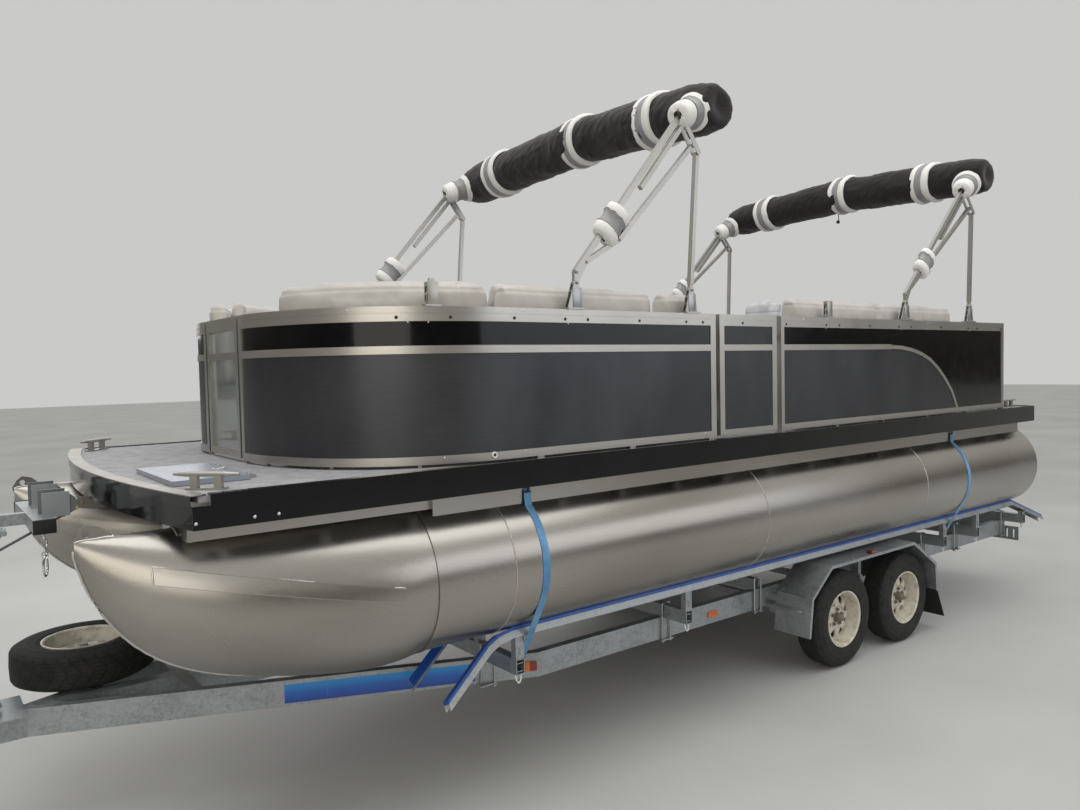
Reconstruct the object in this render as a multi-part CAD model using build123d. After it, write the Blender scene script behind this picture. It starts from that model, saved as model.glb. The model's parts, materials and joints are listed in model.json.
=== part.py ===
from build123d import *
import os
from math import cos, radians, sin, sqrt

os.makedirs("parts", exist_ok=True)

# A pontoon boat standing on its tandem trailer. Millimetres, +X to the bow,
# +Y to port, +Z up, origin on the floor under the middle of the bounding box.
# Lengths along X are first given from the front axle, forward positive, and
# moved by shift so that both ends of the trailer are equally far from X = 0.
# Heights are stacked: wheel, trailer frame, crossmembers, pontoons, deck, fence.

# ends of the whole thing, from the front axle
coupling_nose = 5830.0
bunk_tail = -3280.0
shift = -(coupling_nose + bunk_tail) / 2

# what touches and what turns
seat_gap = 0.3
pin_play = 0.05

# wheels and axles
wheel_r = 320.0
tyre_w = 182.0
wheel_y = 1131.0
axle_gap = 770.0
axle_half = 22.0
spindle_r = 17.0
bead_r = 178.0
flange_r = 186.0

# trailer frame
rail_lift = 121.0
rail_h = 125.0
rail_thick = 50.0
rail_out = 950.0
rail_rear = -2960.0
rail_bend = 2350.0
arm_slope = 0.424
draw_half = 37.5
draw_rear = 3300.0
cross_h = 75.0
cross_w = 50.0
cross_half = 1140.0
wall = 4.0
CROSS = [2600.0, 1420.0, 580.0, -1500.0, -2040.0, -2900.0]
rail_foot = wheel_r + rail_lift
rail_top = rail_foot + rail_h
cross_top = rail_top + cross_h
spring_top = rail_foot - 66

# pontoons
tube_r = 347.6
tube_y = 954.5
tube_lift = 461.0
tube_front = 3128.0
tube_rear = -2757.0
nose_len = 1292.0
bead = 4.0
strake_out = 11.0
riser_half = 200.0
riser_h = 92.0
tube_z = cross_top + tube_lift
nose_top = tube_z + tube_r - 1.6
nose_tip = tube_front + nose_len
beam_foot = tube_z + 378

# bunks: where the skids touch the tube's underside, from its middle
bunk_off = 155.0
bunk_half = 25.0
skid_thick = 16.0
channel_h = 34.0
tail_drop = 210.0
bunk_front = 3000.0
bunk_sin = bunk_off / tube_r
bunk_cos = sqrt(1 - bunk_sin ** 2)
BUNK_LINE = [(bunk_tail, -tail_drop), (-2650, 0), (2640, 0), (2720, -15), (2775, -45), (bunk_front, -256)]

# deck and skirts
beam_h = 95.0
beam_w = 40.0
deck_thick = 25.0
deck_front = 4098.0
deck_rear = -2840.0
bow_bulge = 136.0
skirt_half = 1262.6
skirt_thick = 3.0
skirt_lip = 6.0
lip_in = 40.6
edge_gap = 20.6
deck_half = skirt_half - edge_gap
deck_top = beam_foot + beam_h + deck_thick
skirt_top = deck_top + skirt_lip

# fence
rail = 36.0
rail_in = 72.6
rail_y = skirt_half - rail_in
fence_foot = deck_top + 13
fence_top = fence_foot + 692
bottom_rail_top = fence_foot + 37
mid_rail_foot = fence_foot + 486
mid_rail_top = mid_rail_foot + 35
top_rail_foot = fence_top - 65
top_split = fence_top - 31
groove = 3.0
gate_lift = 6.0
panel_thick = 3.0
panel_out = 10.0
bow_post_x = 3573.0
bow_post_y = 285.0
bend_run = 923.0
bend_end = 350.0
bend_start = bow_post_x - bend_run
fence_rear = -2331.0
side_gate_posts = (1248.0, 651.0)
side_gate_ends = (1215.0, 695.0)
bow_gate_gap = 24.0
stern_gate = (-1085.0, -505.0)
stern_gate_gap = 24.0

# hinges of gates and lids
pin_r = 4.0
knuckle_r = 8.0
knuckle_gap = 0.4
HINGE_Z = [fence_foot + 147, fence_foot + 557]

# seats
seat_z = deck_top + 360
cushion_z = seat_z + 90
back_top = fence_top + 130
seat_in = 590.0
fence_gap = 45.0
back_thick = 120.0

# helm
helm_x = -470.0
helm_y = -800.0
chair_x = -1260.0
chair_y = -560.0

# biminis: places along X, heights above the fence; the arms are hinged at hinge,
# the props at foot, and the props meet the arms at elbow
strut = 28.0
strut_y = rail_y
boot_r = 150.0
boot_end = 1240.0
boot_cone = 150.0
boot_rise = 60.0
TOPS = {
    "front": {"hinge": (2257, 130), "head": (1496, 1061), "elbow": (1373, 877), "foot": (1435, 128),
              "boot": (1240, 1145)},
    "rear": {"hinge": (-813, 130), "head": (-1652, 1013), "elbow": (-1798, 850), "foot": (-1765, 128),
             "boot": (-1950, 1150)},
}

# mudguards, outline of the sheet's outside from its front foot round to the rear one
guard_in = 1005.0
guard_out = 1268.0
guard_sheet = 3.0
guard_lip = 20.0
GUARD = [(472, wheel_r - 20), (438, wheel_r + 225), (223, wheel_r + 398), (-800, wheel_r + 404),
         (-1112, wheel_r + 205), (-1130, wheel_r - 2)]

# spare wheel, winch, jockey wheel
SPARE = (4215.0, -322.0)
winch_post_x = 4720.0
winch_top = beam_foot - 45
bar_half_x = 40.0
jockey_x = 5060.0
jockey_y = draw_half + 45


def X(x):
    return x + shift


def block(x0, x1, y0, y1, z0, z1):
    """box between two corners, X counted from the front axle"""
    return Pos((X(x0) + X(x1)) / 2, (y0 + y1) / 2, (z0 + z1) / 2) * Box(abs(x1 - x0), abs(y1 - y0), abs(z1 - z0))


def vec(p):
    return Vector(X(p[0]), p[1], p[2])


def rod(p, q, r):
    """round bar from p to q"""
    a, b = vec(p), vec(q)
    return Solid.make_cylinder(r, (b - a).length, Plane(origin=a, z_dir=b - a))


def bar(p, q, w, h, side=(0, 1, 0)):
    """rectangular bar from p to q, w along side and h across it"""
    a, b = vec(p), vec(q)
    along = (b - a).normalized()
    s = Vector(*side)
    s = (s - along * s.dot(along)).normalized()
    return extrude(Plane(origin=a, x_dir=s, z_dir=along) * Rectangle(w, h), amount=(b - a).length)


def prism_y(points, y0, y1):
    """outline in X and Z, drawn out from y0 to y1"""
    wire = Polyline(*[(X(x), y0, z) for x, z in points], close=True)
    return Solid.extrude(Face(Wire(wire.edges())), Vector(0, y1 - y0, 0))


def prism_z(points, z0, z1):
    """outline in X and Y, drawn out from z0 to z1"""
    wire = Polyline(*[(X(x), y, z0) for x, y in points], close=True)
    return Solid.extrude(Face(Wire(wire.edges())), Vector(0, 0, z1 - z0))


def revolved(profile):
    """ring or disc from (radius, place along the axle), its axle along Y and its face to +Y"""
    wire = Polyline(*[(r, 0, a) for r, a in profile], close=True)
    return Rot(-90, 0, 0) * Solid.revolve(Face(Wire(wire.edges())), 360, Axis.Z)


def thickened(points, t):
    """closed outline of a sheet t thick that lies inside the open line of points"""
    inner = []
    for i, (x, z) in enumerate(points):
        turns = []
        for a, b in ((i - 1, i), (i, i + 1)):
            if a >= 0 and b < len(points):
                dx, dz = points[b][0] - points[a][0], points[b][1] - points[a][1]
                run = sqrt(dx * dx + dz * dz)
                turns.append(Vector(-dz / run, dx / run, 0))
        mean = (turns[0] + turns[-1]).normalized()
        inner.append((x + mean.X * t / mean.dot(turns[0]), z + mean.Y * t / mean.dot(turns[0])))
    return list(points) + inner[::-1]


def mirrored(shape):
    return mirror(shape, about=Plane.XZ)


def both(shape):
    return shape + mirrored(shape)


def joined(shapes):
    out = shapes[0]
    for s in shapes[1:]:
        out = out + s
    return out


def loose(shapes):
    """solids that stay apart in one node"""
    return Compound(children=[s if isinstance(s, Solid) else s.solids()[0] for s in shapes])


def write(name, shape):
    if not isinstance(shape, (Solid, Compound)):
        shape = Compound(children=list(shape.solids())) if len(shape.solids()) > 1 else shape.solids()[0]
    export_step(shape, f"parts/{name}.step")


# fence line: straight along the side, then a curve to the post at the bow gate
CURVE = [(bow_post_x - back, rail_y - inward) for back, inward in
         ((bend_run, 0), (673, 22), (473, 85), (303, 190), (173, 330), (78, 510), (21, 690))]
CURVE.append((bow_post_x, bend_end))
curve = Spline(*CURVE, tangents=[(1, 0), (0, -1)])


def offset_points(d, t0=0.0, t1=1.0, n=10):
    """points beside the curve, d outwards"""
    out = []
    for i in range(n):
        t = t0 + (t1 - t0) * i / (n - 1)
        p, g = curve @ t, curve % t
        out.append((p.X - g.Y * d, p.Y + g.X * d))
    return out


def band(d0, d1, x_rear, z0, z1, t1=1.0, y_end=None):
    """wall between the offsets d0 and d1 from the fence line, from x_rear round to the curve's part t1 or on to y_end"""
    outer = offset_points(d1, 0.0, t1)
    inner = offset_points(d0, 0.0, t1)
    edges = [Spline(*[(X(x), y, z0) for x, y in outer]), Spline(*[(X(x), y, z0) for x, y in inner]),
             Line((X(x_rear), rail_y + d1, z0), (X(outer[0][0]), outer[0][1], z0)),
             Line((X(x_rear), rail_y + d0, z0), (X(inner[0][0]), inner[0][1], z0)),
             Line((X(x_rear), rail_y + d0, z0), (X(x_rear), rail_y + d1, z0))]
    last = [(X(inner[-1][0]), inner[-1][1], z0), (X(outer[-1][0]), outer[-1][1], z0)]
    if y_end is not None:
        ends = [(x, y_end, z0) for x, y, z in last]
        edges += [Line(last[0], ends[0]), Line(last[1], ends[1])]
        last = ends
    edges.append(Line(*last))
    wire = Wire.combine([e.edge() for e in edges])[0]
    return Solid.extrude(Face(wire), Vector(0, 0, z1 - z0))


# the pontoon's nose: x from the tube's front, bottom and top from the tube's middle, half width,
# how pointed the bottom is
NOSE = [(0, 1 - tube_r, tube_r - 1, tube_r - 1, 0.0),
        (446, -341, nose_top - tube_z, 322, 0.15),
        (827, -247, nose_top - tube_z, 235, 0.4),
        (1066, -112, nose_top - tube_z, 140, 0.7),
        (1212, 68, nose_top - tube_z - 1, 62, 0.8),
        (nose_len, 283, nose_top - tube_z - 3, 12, 0.8)]


def nose_face(x, low, high, half, point, grow):
    mid = tube_z + (low + high) / 2
    tall = (high - low) / 2
    right = []
    for i in range(13):
        a = radians(90 - 15 * i)
        y = (half + grow) * cos(a) ** (1 + (point if a < 0 else 0)) if 0 < i < 12 else 0.0
        right.append((X(tube_front + x), tube_y + y, mid + tall * sin(a)))
    left = [(px, 2 * tube_y - py, pz) for px, py, pz in reversed(right)]
    wire = Wire([Spline(*right).edge(), Spline(*left).edge()])
    return Face(wire)


def nose_body(grow=0.0):
    return loft([nose_face(*row, grow) for row in NOSE])


def pontoon():
    """tube, nose, seam bead, nose plate, strakes and riser of the port side"""
    nose = nose_body()
    parts = [rod((tube_rear, tube_y, tube_z), (tube_front, tube_y, tube_z), tube_r), nose]
    parts.append(rod((tube_front - 20, tube_y, tube_z), (tube_front, tube_y, tube_z), tube_r + bead))
    # a strake on each side of the nose, rising to the tip
    low = tube_z - 18
    strip = prism_y([(tube_front + 162, low), (tube_front + 162, low + 55), (nose_tip - 230, low + 252),
                     (nose_tip - 230, low + 192)], tube_y - 500, tube_y + 500)
    parts.append((nose_body(strake_out) - nose) & strip)
    # riser channel on the tube's top, under the crossbeams
    foot = tube_z + tube_r - riser_h
    step = tube_front - 63
    parts.append(block(tube_rear + 30, step, tube_y - riser_half, tube_y + riser_half,
                       tube_z + sqrt(tube_r ** 2 - riser_half ** 2) + 1.7, beam_foot))
    parts.append(block(step, deck_front - 18, tube_y - riser_half + 20, tube_y + riser_half - 20, nose_top - 30,
                       beam_foot))
    # eye plate at the nose
    x, z = nose_tip, nose_top
    plate = prism_y([(x - 140, z - 28), (x + 5, z - 28), (x + 9, z - 7), (x - 15, z + 32), (x - 39, z + 52),
                     (x - 80, z + 42), (x - 130, z - 1)], tube_y - 5, tube_y + 5)
    parts.append(plate - rod((x - 39, tube_y - 20, z + 18), (x - 39, tube_y + 20, z + 18), 13))
    return joined(parts)


def deck_outline(half, front, bulge, rear, corner, z0, z1):
    """deck plan with a convex bow and rounded stern corners"""
    def p(x, y):
        return (X(x), y, z0)
    edges = [
        ThreePointArc(p(front, half), p(front + bulge, 0), p(front, -half)),
        Line(p(front, -half), p(rear + corner, -half)),
        RadiusArc(p(rear + corner, -half), p(rear, -half + corner), corner),
        Line(p(rear, -half + corner), p(rear, half - corner)),
        RadiusArc(p(rear, half - corner), p(rear + corner, half), corner),
        Line(p(rear + corner, half), p(front, half)),
    ]
    wire = Wire.combine([e.edge() for e in edges])[0]
    return Solid.extrude(Face(wire), Vector(0, 0, z1 - z0))


def deck():
    return deck_outline(deck_half, deck_front - 32, bow_bulge, deck_rear + 24, 60, deck_top - deck_thick, deck_top)


def deck_frame():
    """crossbeams between the risers and the deck, with a bow beam and its towing eye"""
    parts = []
    count = 17
    first, last = deck_rear + 60, deck_front - 150
    top = deck_top - deck_thick
    for i in range(count):
        x = first + (last - first) * i / (count - 1)
        parts.append(block(x - beam_w / 2, x + beam_w / 2, -deck_half + 4, deck_half - 4, beam_foot, top))
    parts.append(block(last - 20, deck_front + 92, -60, 60, beam_foot, top))
    x, z = deck_front, beam_foot
    eye = prism_y([(x - 78, z + 5), (x - 78, z - 40), (x + 102, z - 62), (x + 164, z - 48), (x + 170, z - 20),
                   (x + 158, z - 1), (x + 92, z - 1), (x + 92, z + 5)], -8, 8)
    parts.append(eye - rod((x + 140, -20, z - 25), (x + 140, 20, z - 25), 10))
    return joined(parts)


def bow_band(front_out, front_in, half_out, half_in, z0, z1):
    """band along the bow's arc"""
    def p(x, y):
        return (X(x), y, z0)
    edges = [ThreePointArc(p(front_out, half_out), p(front_out + bow_bulge, 0), p(front_out, -half_out)),
             Line(p(front_out, -half_out), p(front_in, -half_in)),
             ThreePointArc(p(front_in, -half_in), p(front_in + bow_bulge, 0), p(front_in, half_in)),
             Line(p(front_in, half_in), p(front_out, half_out))]
    wire = Wire.combine([e.edge() for e in edges])[0]
    return Solid.extrude(Face(wire), Vector(0, 0, z1 - z0))


def bow_trim():
    """aluminium edge over the deck's front"""
    lip = bow_band(deck_front, deck_front - 60, skirt_half, deck_half, deck_top + seat_gap, skirt_top)
    face = bow_band(deck_front, deck_front - 6, skirt_half, skirt_half - 20, deck_top - 34, skirt_top)
    return lip + face


def skirts():
    """gloss side skirts with a lip over the deck's edge, and the fascia under the bow trim"""
    foot, under_trim = beam_foot, deck_top - 35
    rear, front = deck_rear + 50, deck_front - 70
    side = block(rear, front, skirt_half - skirt_thick, skirt_half, foot, skirt_top)
    lip = block(rear, front, skirt_half - lip_in, skirt_half, deck_top, skirt_top)
    nose = block(front, deck_front - 5, skirt_half - skirt_thick, skirt_half, foot, under_trim)
    around = block(deck_rear - 5, rear, -1500, 1500, foot, skirt_top)
    end = deck_outline(skirt_half, deck_front, bow_bulge, deck_rear, 70, foot, skirt_top)
    end = end - deck_outline(skirt_half - skirt_thick, deck_front, bow_bulge, deck_rear + skirt_thick, 67,
                             foot - 1, skirt_top + 1)
    top = deck_outline(skirt_half, deck_front, bow_bulge, deck_rear, 70, deck_top, skirt_top)
    inner = skirt_half - lip_in
    top = top - block(deck_rear + 44, 5000, -inner, inner, deck_top - 50, skirt_top + 50)
    fascia = bow_band(deck_front - 6, deck_front - 12, skirt_half - 3, skirt_half - 23, foot, under_trim)
    return joined([side + mirrored(side), both(lip), both(nose), end & around, top & around, fascia])


def knuckles(x, y, z_mid, sign_fixed, sign_moving, along="x", reach=26.0):
    """a leaf hinge on a vertical pin: the fixed half with the pin, then the moving half"""
    h = 18.0
    fixed, moving = [], []
    for z0, z1 in ((z_mid - h - 2 * h, z_mid - h), (z_mid + h, z_mid + h + 2 * h)):
        fixed.append(rod((x, y, z0), (x, y, z1), knuckle_r))
    fixed.append(rod((x, y, z_mid - 3 * h), (x, y, z_mid + 3 * h), pin_r))
    moving.append(rod((x, y, z_mid - h + knuckle_gap), (x, y, z_mid + h - knuckle_gap), knuckle_r))
    for sign, parts, zs in ((sign_fixed, fixed, [(z_mid - 3 * h, z_mid - h), (z_mid + h, z_mid + 3 * h)]),
                            (sign_moving, moving, [(z_mid - h + knuckle_gap, z_mid + h - knuckle_gap)])):
        for z0, z1 in zs:
            if along == "x":
                parts.append(block(x, x + sign * (12 + reach), y - 2, y + 2, z0, z1))
            else:
                parts.append(block(x - 2, x + 2, y, y + sign * (12 + reach), z0, z1))
    bore = rod((x, y, z_mid - 4 * h), (x, y, z_mid + 4 * h), pin_r + pin_play)
    return joined(fixed), joined(moving) - bore


# the rails of every fence panel: foot, top, how far the outer face steps in
RAILS = [(fence_foot, bottom_rail_top, 0.0), (mid_rail_foot, mid_rail_top, 0.0),
         (top_rail_foot, top_split - 2, 0.0), (top_split - 2, top_split + 2, groove), (top_split + 2, fence_top, 0.0)]
PLAIN_RAILS = [(fence_foot, bottom_rail_top), (mid_rail_foot, mid_rail_top), (top_rail_foot, fence_top)]


def fence_front():
    """port front section: rails round the bow corner, and their posts"""
    x0 = side_gate_posts[0]
    h = rail / 2
    parts = [band(-h, h - step, x0, z0, z1, y_end=bow_post_y + h) for z0, z1, step in RAILS]
    parts.append(block(x0, x0 + 43, rail_y - h, rail_y + h, fence_foot, fence_top))
    for x in (x0 + 652, bend_start - 60):
        parts.append(block(x - 18, x + 18, rail_y - h, rail_y + panel_out - 1, fence_foot, fence_top))
    parts.append(block(bow_post_x - h, bow_post_x + h, bow_post_y - h, bow_post_y + h, fence_foot, fence_top))
    for x in (x0 + 42, x0 + 652, bend_start - 150):
        parts.append(block(x - 20, x + 20, rail_y - 16, rail_y + 16, deck_top, fence_foot))
    for x, y in (CURVE[2], CURVE[4], CURVE[6], (bow_post_x, bow_post_y)):
        parts.append(block(x - 9, x + 9, y - 9, y + 9, deck_top, fence_foot))
    return joined(parts)


# the sweeping bar of the rear section, from the middle rail down to the bottom rail
SWEEP = [(-600, mid_rail_foot + 17), (-900, mid_rail_foot - 9), (-1180, mid_rail_foot - 99),
         (-1390, mid_rail_foot - 249), (-1540, bottom_rail_top + 8)]


def sweep_line(d):
    s = Spline(*SWEEP, tangents=[(-1, 0), (-0.45, -1)])
    out = []
    for i in range(9):
        p, g = s @ (i / 8), s % (i / 8)
        out.append((p.X + g.Y * d, p.Y - g.X * d))
    return out


def fence_rear_side(front, own_post=True):
    """rear section from front back to the stern corner, with the sweeping bar"""
    h = rail / 2
    rear = fence_rear
    turn = SWEEP[0][0]
    parts = [block(turn if z0 == mid_rail_foot else rear, front, rail_y - h, rail_y + h - step, z0, z1)
             for z0, z1, step in RAILS]
    parts.append(block(rear, rear + rail, rail_y - h, rail_y + h, fence_foot, fence_top))
    up, low = sweep_line(13), sweep_line(-13)
    foot = bottom_rail_top - 5
    mid = SWEEP[0][1]
    pts = [(turn + 10, mid + 13)] + up[1:] + [(up[-1][0], foot), (low[-1][0], foot)] + low[1:][::-1]
    parts.append(prism_y(pts + [(turn + 10, mid - 13)], rail_y - 10, rail_y + h))
    if own_post:
        parts.append(block(front - 30, front, rail_y - h, rail_y + h, fence_foot, fence_top))
        parts.append(block(front - 29, front - 1, rail_y - 16, rail_y + 16, deck_top, fence_foot))
    for x in (-150, -900, -1650):
        parts.append(block(x - 18, x + 18, rail_y - h, rail_y + panel_out - 1, fence_foot, fence_top))
    for x in (60, -500, -1100, -1700, rear + h):
        parts.append(block(x - 14, x + 14, rail_y - 16, rail_y + 16, deck_top, fence_foot))
    return joined(parts)


def side_panels(front):
    """lower and upper panel of a rear section"""
    low, up = sweep_line(-13), sweep_line(13)
    y0, y1 = rail_y + panel_out, rail_y + panel_out + panel_thick
    turn, rear = SWEEP[0][0], fence_rear + rail
    lower = prism_y([(front - 30, bottom_rail_top), (front - 30, mid_rail_foot), (turn, mid_rail_foot)]
                    + low[1:] + [(low[-1][0], bottom_rail_top)], y0, y1)
    upper = prism_y([(front - 30, top_rail_foot), (front - 30, mid_rail_top), (turn, mid_rail_top)]
                    + up[1:] + [(up[-1][0], bottom_rail_top), (rear, bottom_rail_top), (rear, top_rail_foot)], y0, y1)
    return lower, upper


def front_panels(x_rear):
    """curved panels of the front section"""
    end = bow_post_y + rail / 2
    return [band(panel_out, panel_out + panel_thick, x_rear, z0, z1, y_end=end)
            for z0, z1 in ((bottom_rail_top, mid_rail_foot), (mid_rail_top, top_rail_foot))]


def gate_hinge_side():
    x = side_gate_posts[0] / 2 + side_gate_ends[0] / 2
    return [knuckles(x, rail_y - 20, z, 1, -1) for z in HINGE_Z]


def fence_port():
    parts = [fence_front(), fence_rear_side(side_gate_posts[1])]
    return joined(parts + [fixed for fixed, moving in gate_hinge_side()])


def bow_hinge():
    y = -(bow_post_y - rail / 2) + bow_gate_gap / 2
    return [knuckles(bow_post_x - 20, y, z, -1, 1, "y") for z in HINGE_Z]


def stern_hinge():
    y = stern_gate[0] - stern_gate_gap / 2
    return [knuckles(fence_rear + rail + 2, y, z, -1, 1, "y") for z in HINGE_Z]


def fence_starboard():
    parts = [mirrored(fence_front()), mirrored(fence_rear_side(side_gate_posts[0], False))]
    return joined(parts + [fixed for fixed, moving in bow_hinge()])


def fence_stern():
    """stern section across the deck, with the posts of its gate"""
    h = rail / 2
    x0, x1 = fence_rear, fence_rear + rail
    post0, post1 = stern_gate[0] - stern_gate_gap, stern_gate[1] + stern_gate_gap
    inner = rail_y - h
    parts = []
    for z0, z1 in PLAIN_RAILS:
        parts.append(block(x0, x1, post1, inner, z0, z1))
        parts.append(block(x0, x1, -inner, post0, z0, z1))
    parts.append(block(x0, x1, post1, post1 + rail, fence_foot, fence_top))
    parts.append(block(x0, x1, post0 - rail, post0, fence_foot, fence_top))
    parts.append(block(x0 + 9, x1, 340, 340 + rail, fence_foot, fence_top))
    for y in (post1 + h, 340 + h, 1000, post0 - h):
        parts.append(block(x0 + 2, x1 - 2, y - 14, y + 14, deck_top, fence_foot))
    return joined(parts + [fixed for fixed, moving in stern_hinge()])


def side_gate():
    a, b = side_gate_ends
    h = rail / 2
    foot = fence_foot + gate_lift
    parts = [block(b, b + 42, rail_y - h, rail_y + h, foot, fence_top),
             block(a - 40, a, rail_y - h, rail_y + h, foot, fence_top)]
    parts += [block(b, a, rail_y - h, rail_y + h - step, max(z0, foot), z1) for z0, z1, step in RAILS]
    parts += [moving for fixed, moving in gate_hinge_side()]
    # latch on the free stile
    parts.append(block(b - 28, b + 30, rail_y - h - 14, rail_y - h, mid_rail_foot + 61, mid_rail_foot + 96))
    return joined(parts)


def gate_panel(z0, z1):
    a, b = side_gate_ends
    return block(b + 42, a - 40, rail_y + panel_out, rail_y + panel_out + panel_thick, z0, z1)


def cross_gate(x0, x1, y0, y1, hinges):
    """gate that lies across the boat"""
    foot = fence_foot + gate_lift
    parts = [block(x0, x1, y0, y0 + rail, foot, fence_top), block(x0, x1, y1 - rail, y1, foot, fence_top)]
    parts += [block(x0, x1, y0, y1, max(z0, foot), z1) for z0, z1 in PLAIN_RAILS]
    return joined(parts + [moving for fixed, moving in hinges])


def bow_gate():
    h = rail / 2
    half = bow_post_y - h - bow_gate_gap
    return cross_gate(bow_post_x - h, bow_post_x + h, -half, half, bow_hinge())


def bow_gate_glass():
    half = bow_post_y - rail / 2 - bow_gate_gap - rail
    return loose([block(bow_post_x - 2, bow_post_x + 2, -half, half, z0, z1)
                  for z0, z1 in ((bottom_rail_top, mid_rail_foot), (mid_rail_top, top_rail_foot))])


def stern_gate_frame():
    return cross_gate(fence_rear, fence_rear + rail, stern_gate[0], stern_gate[1], stern_hinge())


def stern_gate_panel():
    y0, y1 = stern_gate[0] + rail, stern_gate[1] - rail
    x = fence_rear + 5
    return loose([block(x, x + panel_thick, y0, y1, z0, z1)
                  for z0, z1 in ((bottom_rail_top, mid_rail_foot), (mid_rail_top, top_rail_foot))])


def all_panels():
    """lower and upper panels of every fixed section"""
    rear_low, rear_up = side_panels(side_gate_posts[1])
    star_low, star_up = side_panels(side_gate_posts[0] + 30)
    low, up = front_panels(side_gate_posts[0] + 43)
    lower = [rear_low, low, mirrored(star_low), mirrored(low)]
    upper = [rear_up, up, mirrored(star_up), mirrored(up)]
    x = fence_rear + 5
    post1 = stern_gate[1] + stern_gate_gap + rail
    for kind, z0, z1 in ((lower, bottom_rail_top, mid_rail_foot), (upper, mid_rail_top, top_rail_foot)):
        kind.append(block(x, x + panel_thick, post1, rail_y - rail / 2, z0, z1))
    return loose(lower), loose(upper)


def seat_plan(x_rear, y_in, gap, z0, z1, t1):
    """seat along the fence and round the bow corner, gap inside the fence line"""
    outer = offset_points(-gap, 0.0, t1, 9)
    last = outer[-1]

    def p(x, y):
        return (X(x), y, z0)
    edges = [Line(p(x_rear, rail_y - gap), p(*outer[0])),
             Spline(*[p(*q) for q in outer]),
             Line(p(*last), p(last[0] - 260, last[1] - 60)),
             Line(p(last[0] - 260, last[1] - 60), p(last[0] - 420, y_in)),
             Line(p(last[0] - 420, y_in), p(x_rear, y_in)),
             Line(p(x_rear, y_in), p(x_rear, rail_y - gap))]
    wire = Wire.combine([e.edge() for e in edges])[0]
    return Solid.extrude(Face(wire), Vector(0, 0, z1 - z0))


# lounges that run along the fence: rear end, side
LOUNGES = [(1265, 1), (1750, -1)]
rear_lounge = (-1650.0, 450.0)


def seat_bases():
    shapes = []
    for x_rear, side in LOUNGES:
        base = seat_plan(x_rear, seat_in + 20, fence_gap, deck_top, seat_z, 0.84)
        shapes.append(base if side > 0 else mirrored(base))
    shapes.append(block(*rear_lounge, seat_in + 20, rail_y - fence_gap, deck_top, seat_z))
    foot = (chair_x, chair_y, deck_top)
    shapes.append(rod(foot, (chair_x, chair_y, seat_z - 10), 45) + rod(foot, (chair_x, chair_y, deck_top + 12), 150))
    return loose(shapes)


def seat_cushions():
    """seat and back pads of the three lounges"""
    shapes = []
    near = fence_gap + 5
    for x_rear, side in LOUNGES:
        seat = seat_plan(x_rear, seat_in, near + back_thick + 5, seat_z, cushion_z, 0.8)
        back = band(-near - back_thick, -near, x_rear, seat_z, back_top, 0.95)
        shapes += [seat if side > 0 else mirrored(seat), back if side > 0 else mirrored(back)]
    shapes.append(block(*rear_lounge, seat_in, rail_y - near - back_thick - 5, seat_z, cushion_z))
    shapes.append(block(*rear_lounge, rail_y - near - back_thick, rail_y - near, seat_z, back_top))
    return loose(shapes)


def helm_console():
    def at(points):
        return [(helm_x + x, deck_top + z) for x, z in points]
    body = prism_y(at([(0, 0), (550, 0), (550, 580), (430, 730), (270, 800), (0, 550)]), helm_y - 320, helm_y + 320)
    inner = prism_y(at([(-30, 18), (525, 18), (525, 550), (420, 690), (270, 740), (25, 510), (-30, 510)]),
                    helm_y - 300, helm_y + 300)
    foot, end = at([(135, 640), (70, 698)])
    return body - inner + rod((foot[0], helm_y, foot[1]), (end[0], helm_y, end[1]), 24)


def steering_wheel():
    """wheel on the end of the column, its axle along the column"""
    a = Vector(-65, 0, 58).normalized()
    base = vec((helm_x + 70, helm_y, deck_top + 698)) + a * seat_gap
    ring = [(175 + 12 * cos(radians(60 * i)), 0, 40 + 12 * sin(radians(60 * i))) for i in range(6)]
    rim = Solid.revolve(Face(Wire(Polyline(*ring, close=True).edges())), 360, Axis.Z)
    parts = [Solid.make_cylinder(32, 28, Plane(origin=base, z_dir=a)),
             Plane(origin=base, z_dir=a).location * rim]
    side = Vector(0, 1, 0)
    up = a.cross(side)
    for k in range(3):
        t = radians(90 + 120 * k)
        d = side * cos(t) + up * sin(t)
        p0, p1 = base + a * 14 + d * 20, base + a * 40 + d * 175
        parts.append(Solid.make_cylinder(7, (p1 - p0).length, Plane(origin=p0, z_dir=p1 - p0)))
    return joined(parts)


def helm_seat():
    """swivel chair on the pedestal"""
    x, foot, seat = chair_x, seat_z - 10 + seat_gap, seat_z + 30
    top = seat + 120
    back = [(x - 240, top), (x - 110, top), (x - 190, deck_top + 1020), (x - 290, deck_top + 1020)]
    parts = [block(x - 240, x + 260, -260, 260, seat, top), prism_y(back, -200, 200),
             block(x - 110, x + 110, -110, 110, foot, seat),
             both(block(x - 200, x + 150, 262, 310, top + 140, top + 190)),
             both(block(x - 200, x - 160, 255, 300, top - 20, top + 150))]
    return Pos(0, chair_y, 0) * joined(parts)


# hatch in the bow deck: pin of its hinges, its two hinge places
hatch_pin_x = deck_front - 340
hatch_y = (330.0, 930.0)


def hatch_lid():
    x, (y0, y1) = hatch_pin_x + 17, hatch_y
    lid = block(x, x + 300, y0, y1, deck_top + 2, deck_top + 22)
    return lid - block(x + 20, x + 275, y0 + 20, y1 - 20, deck_top, deck_top + 16)


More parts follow.
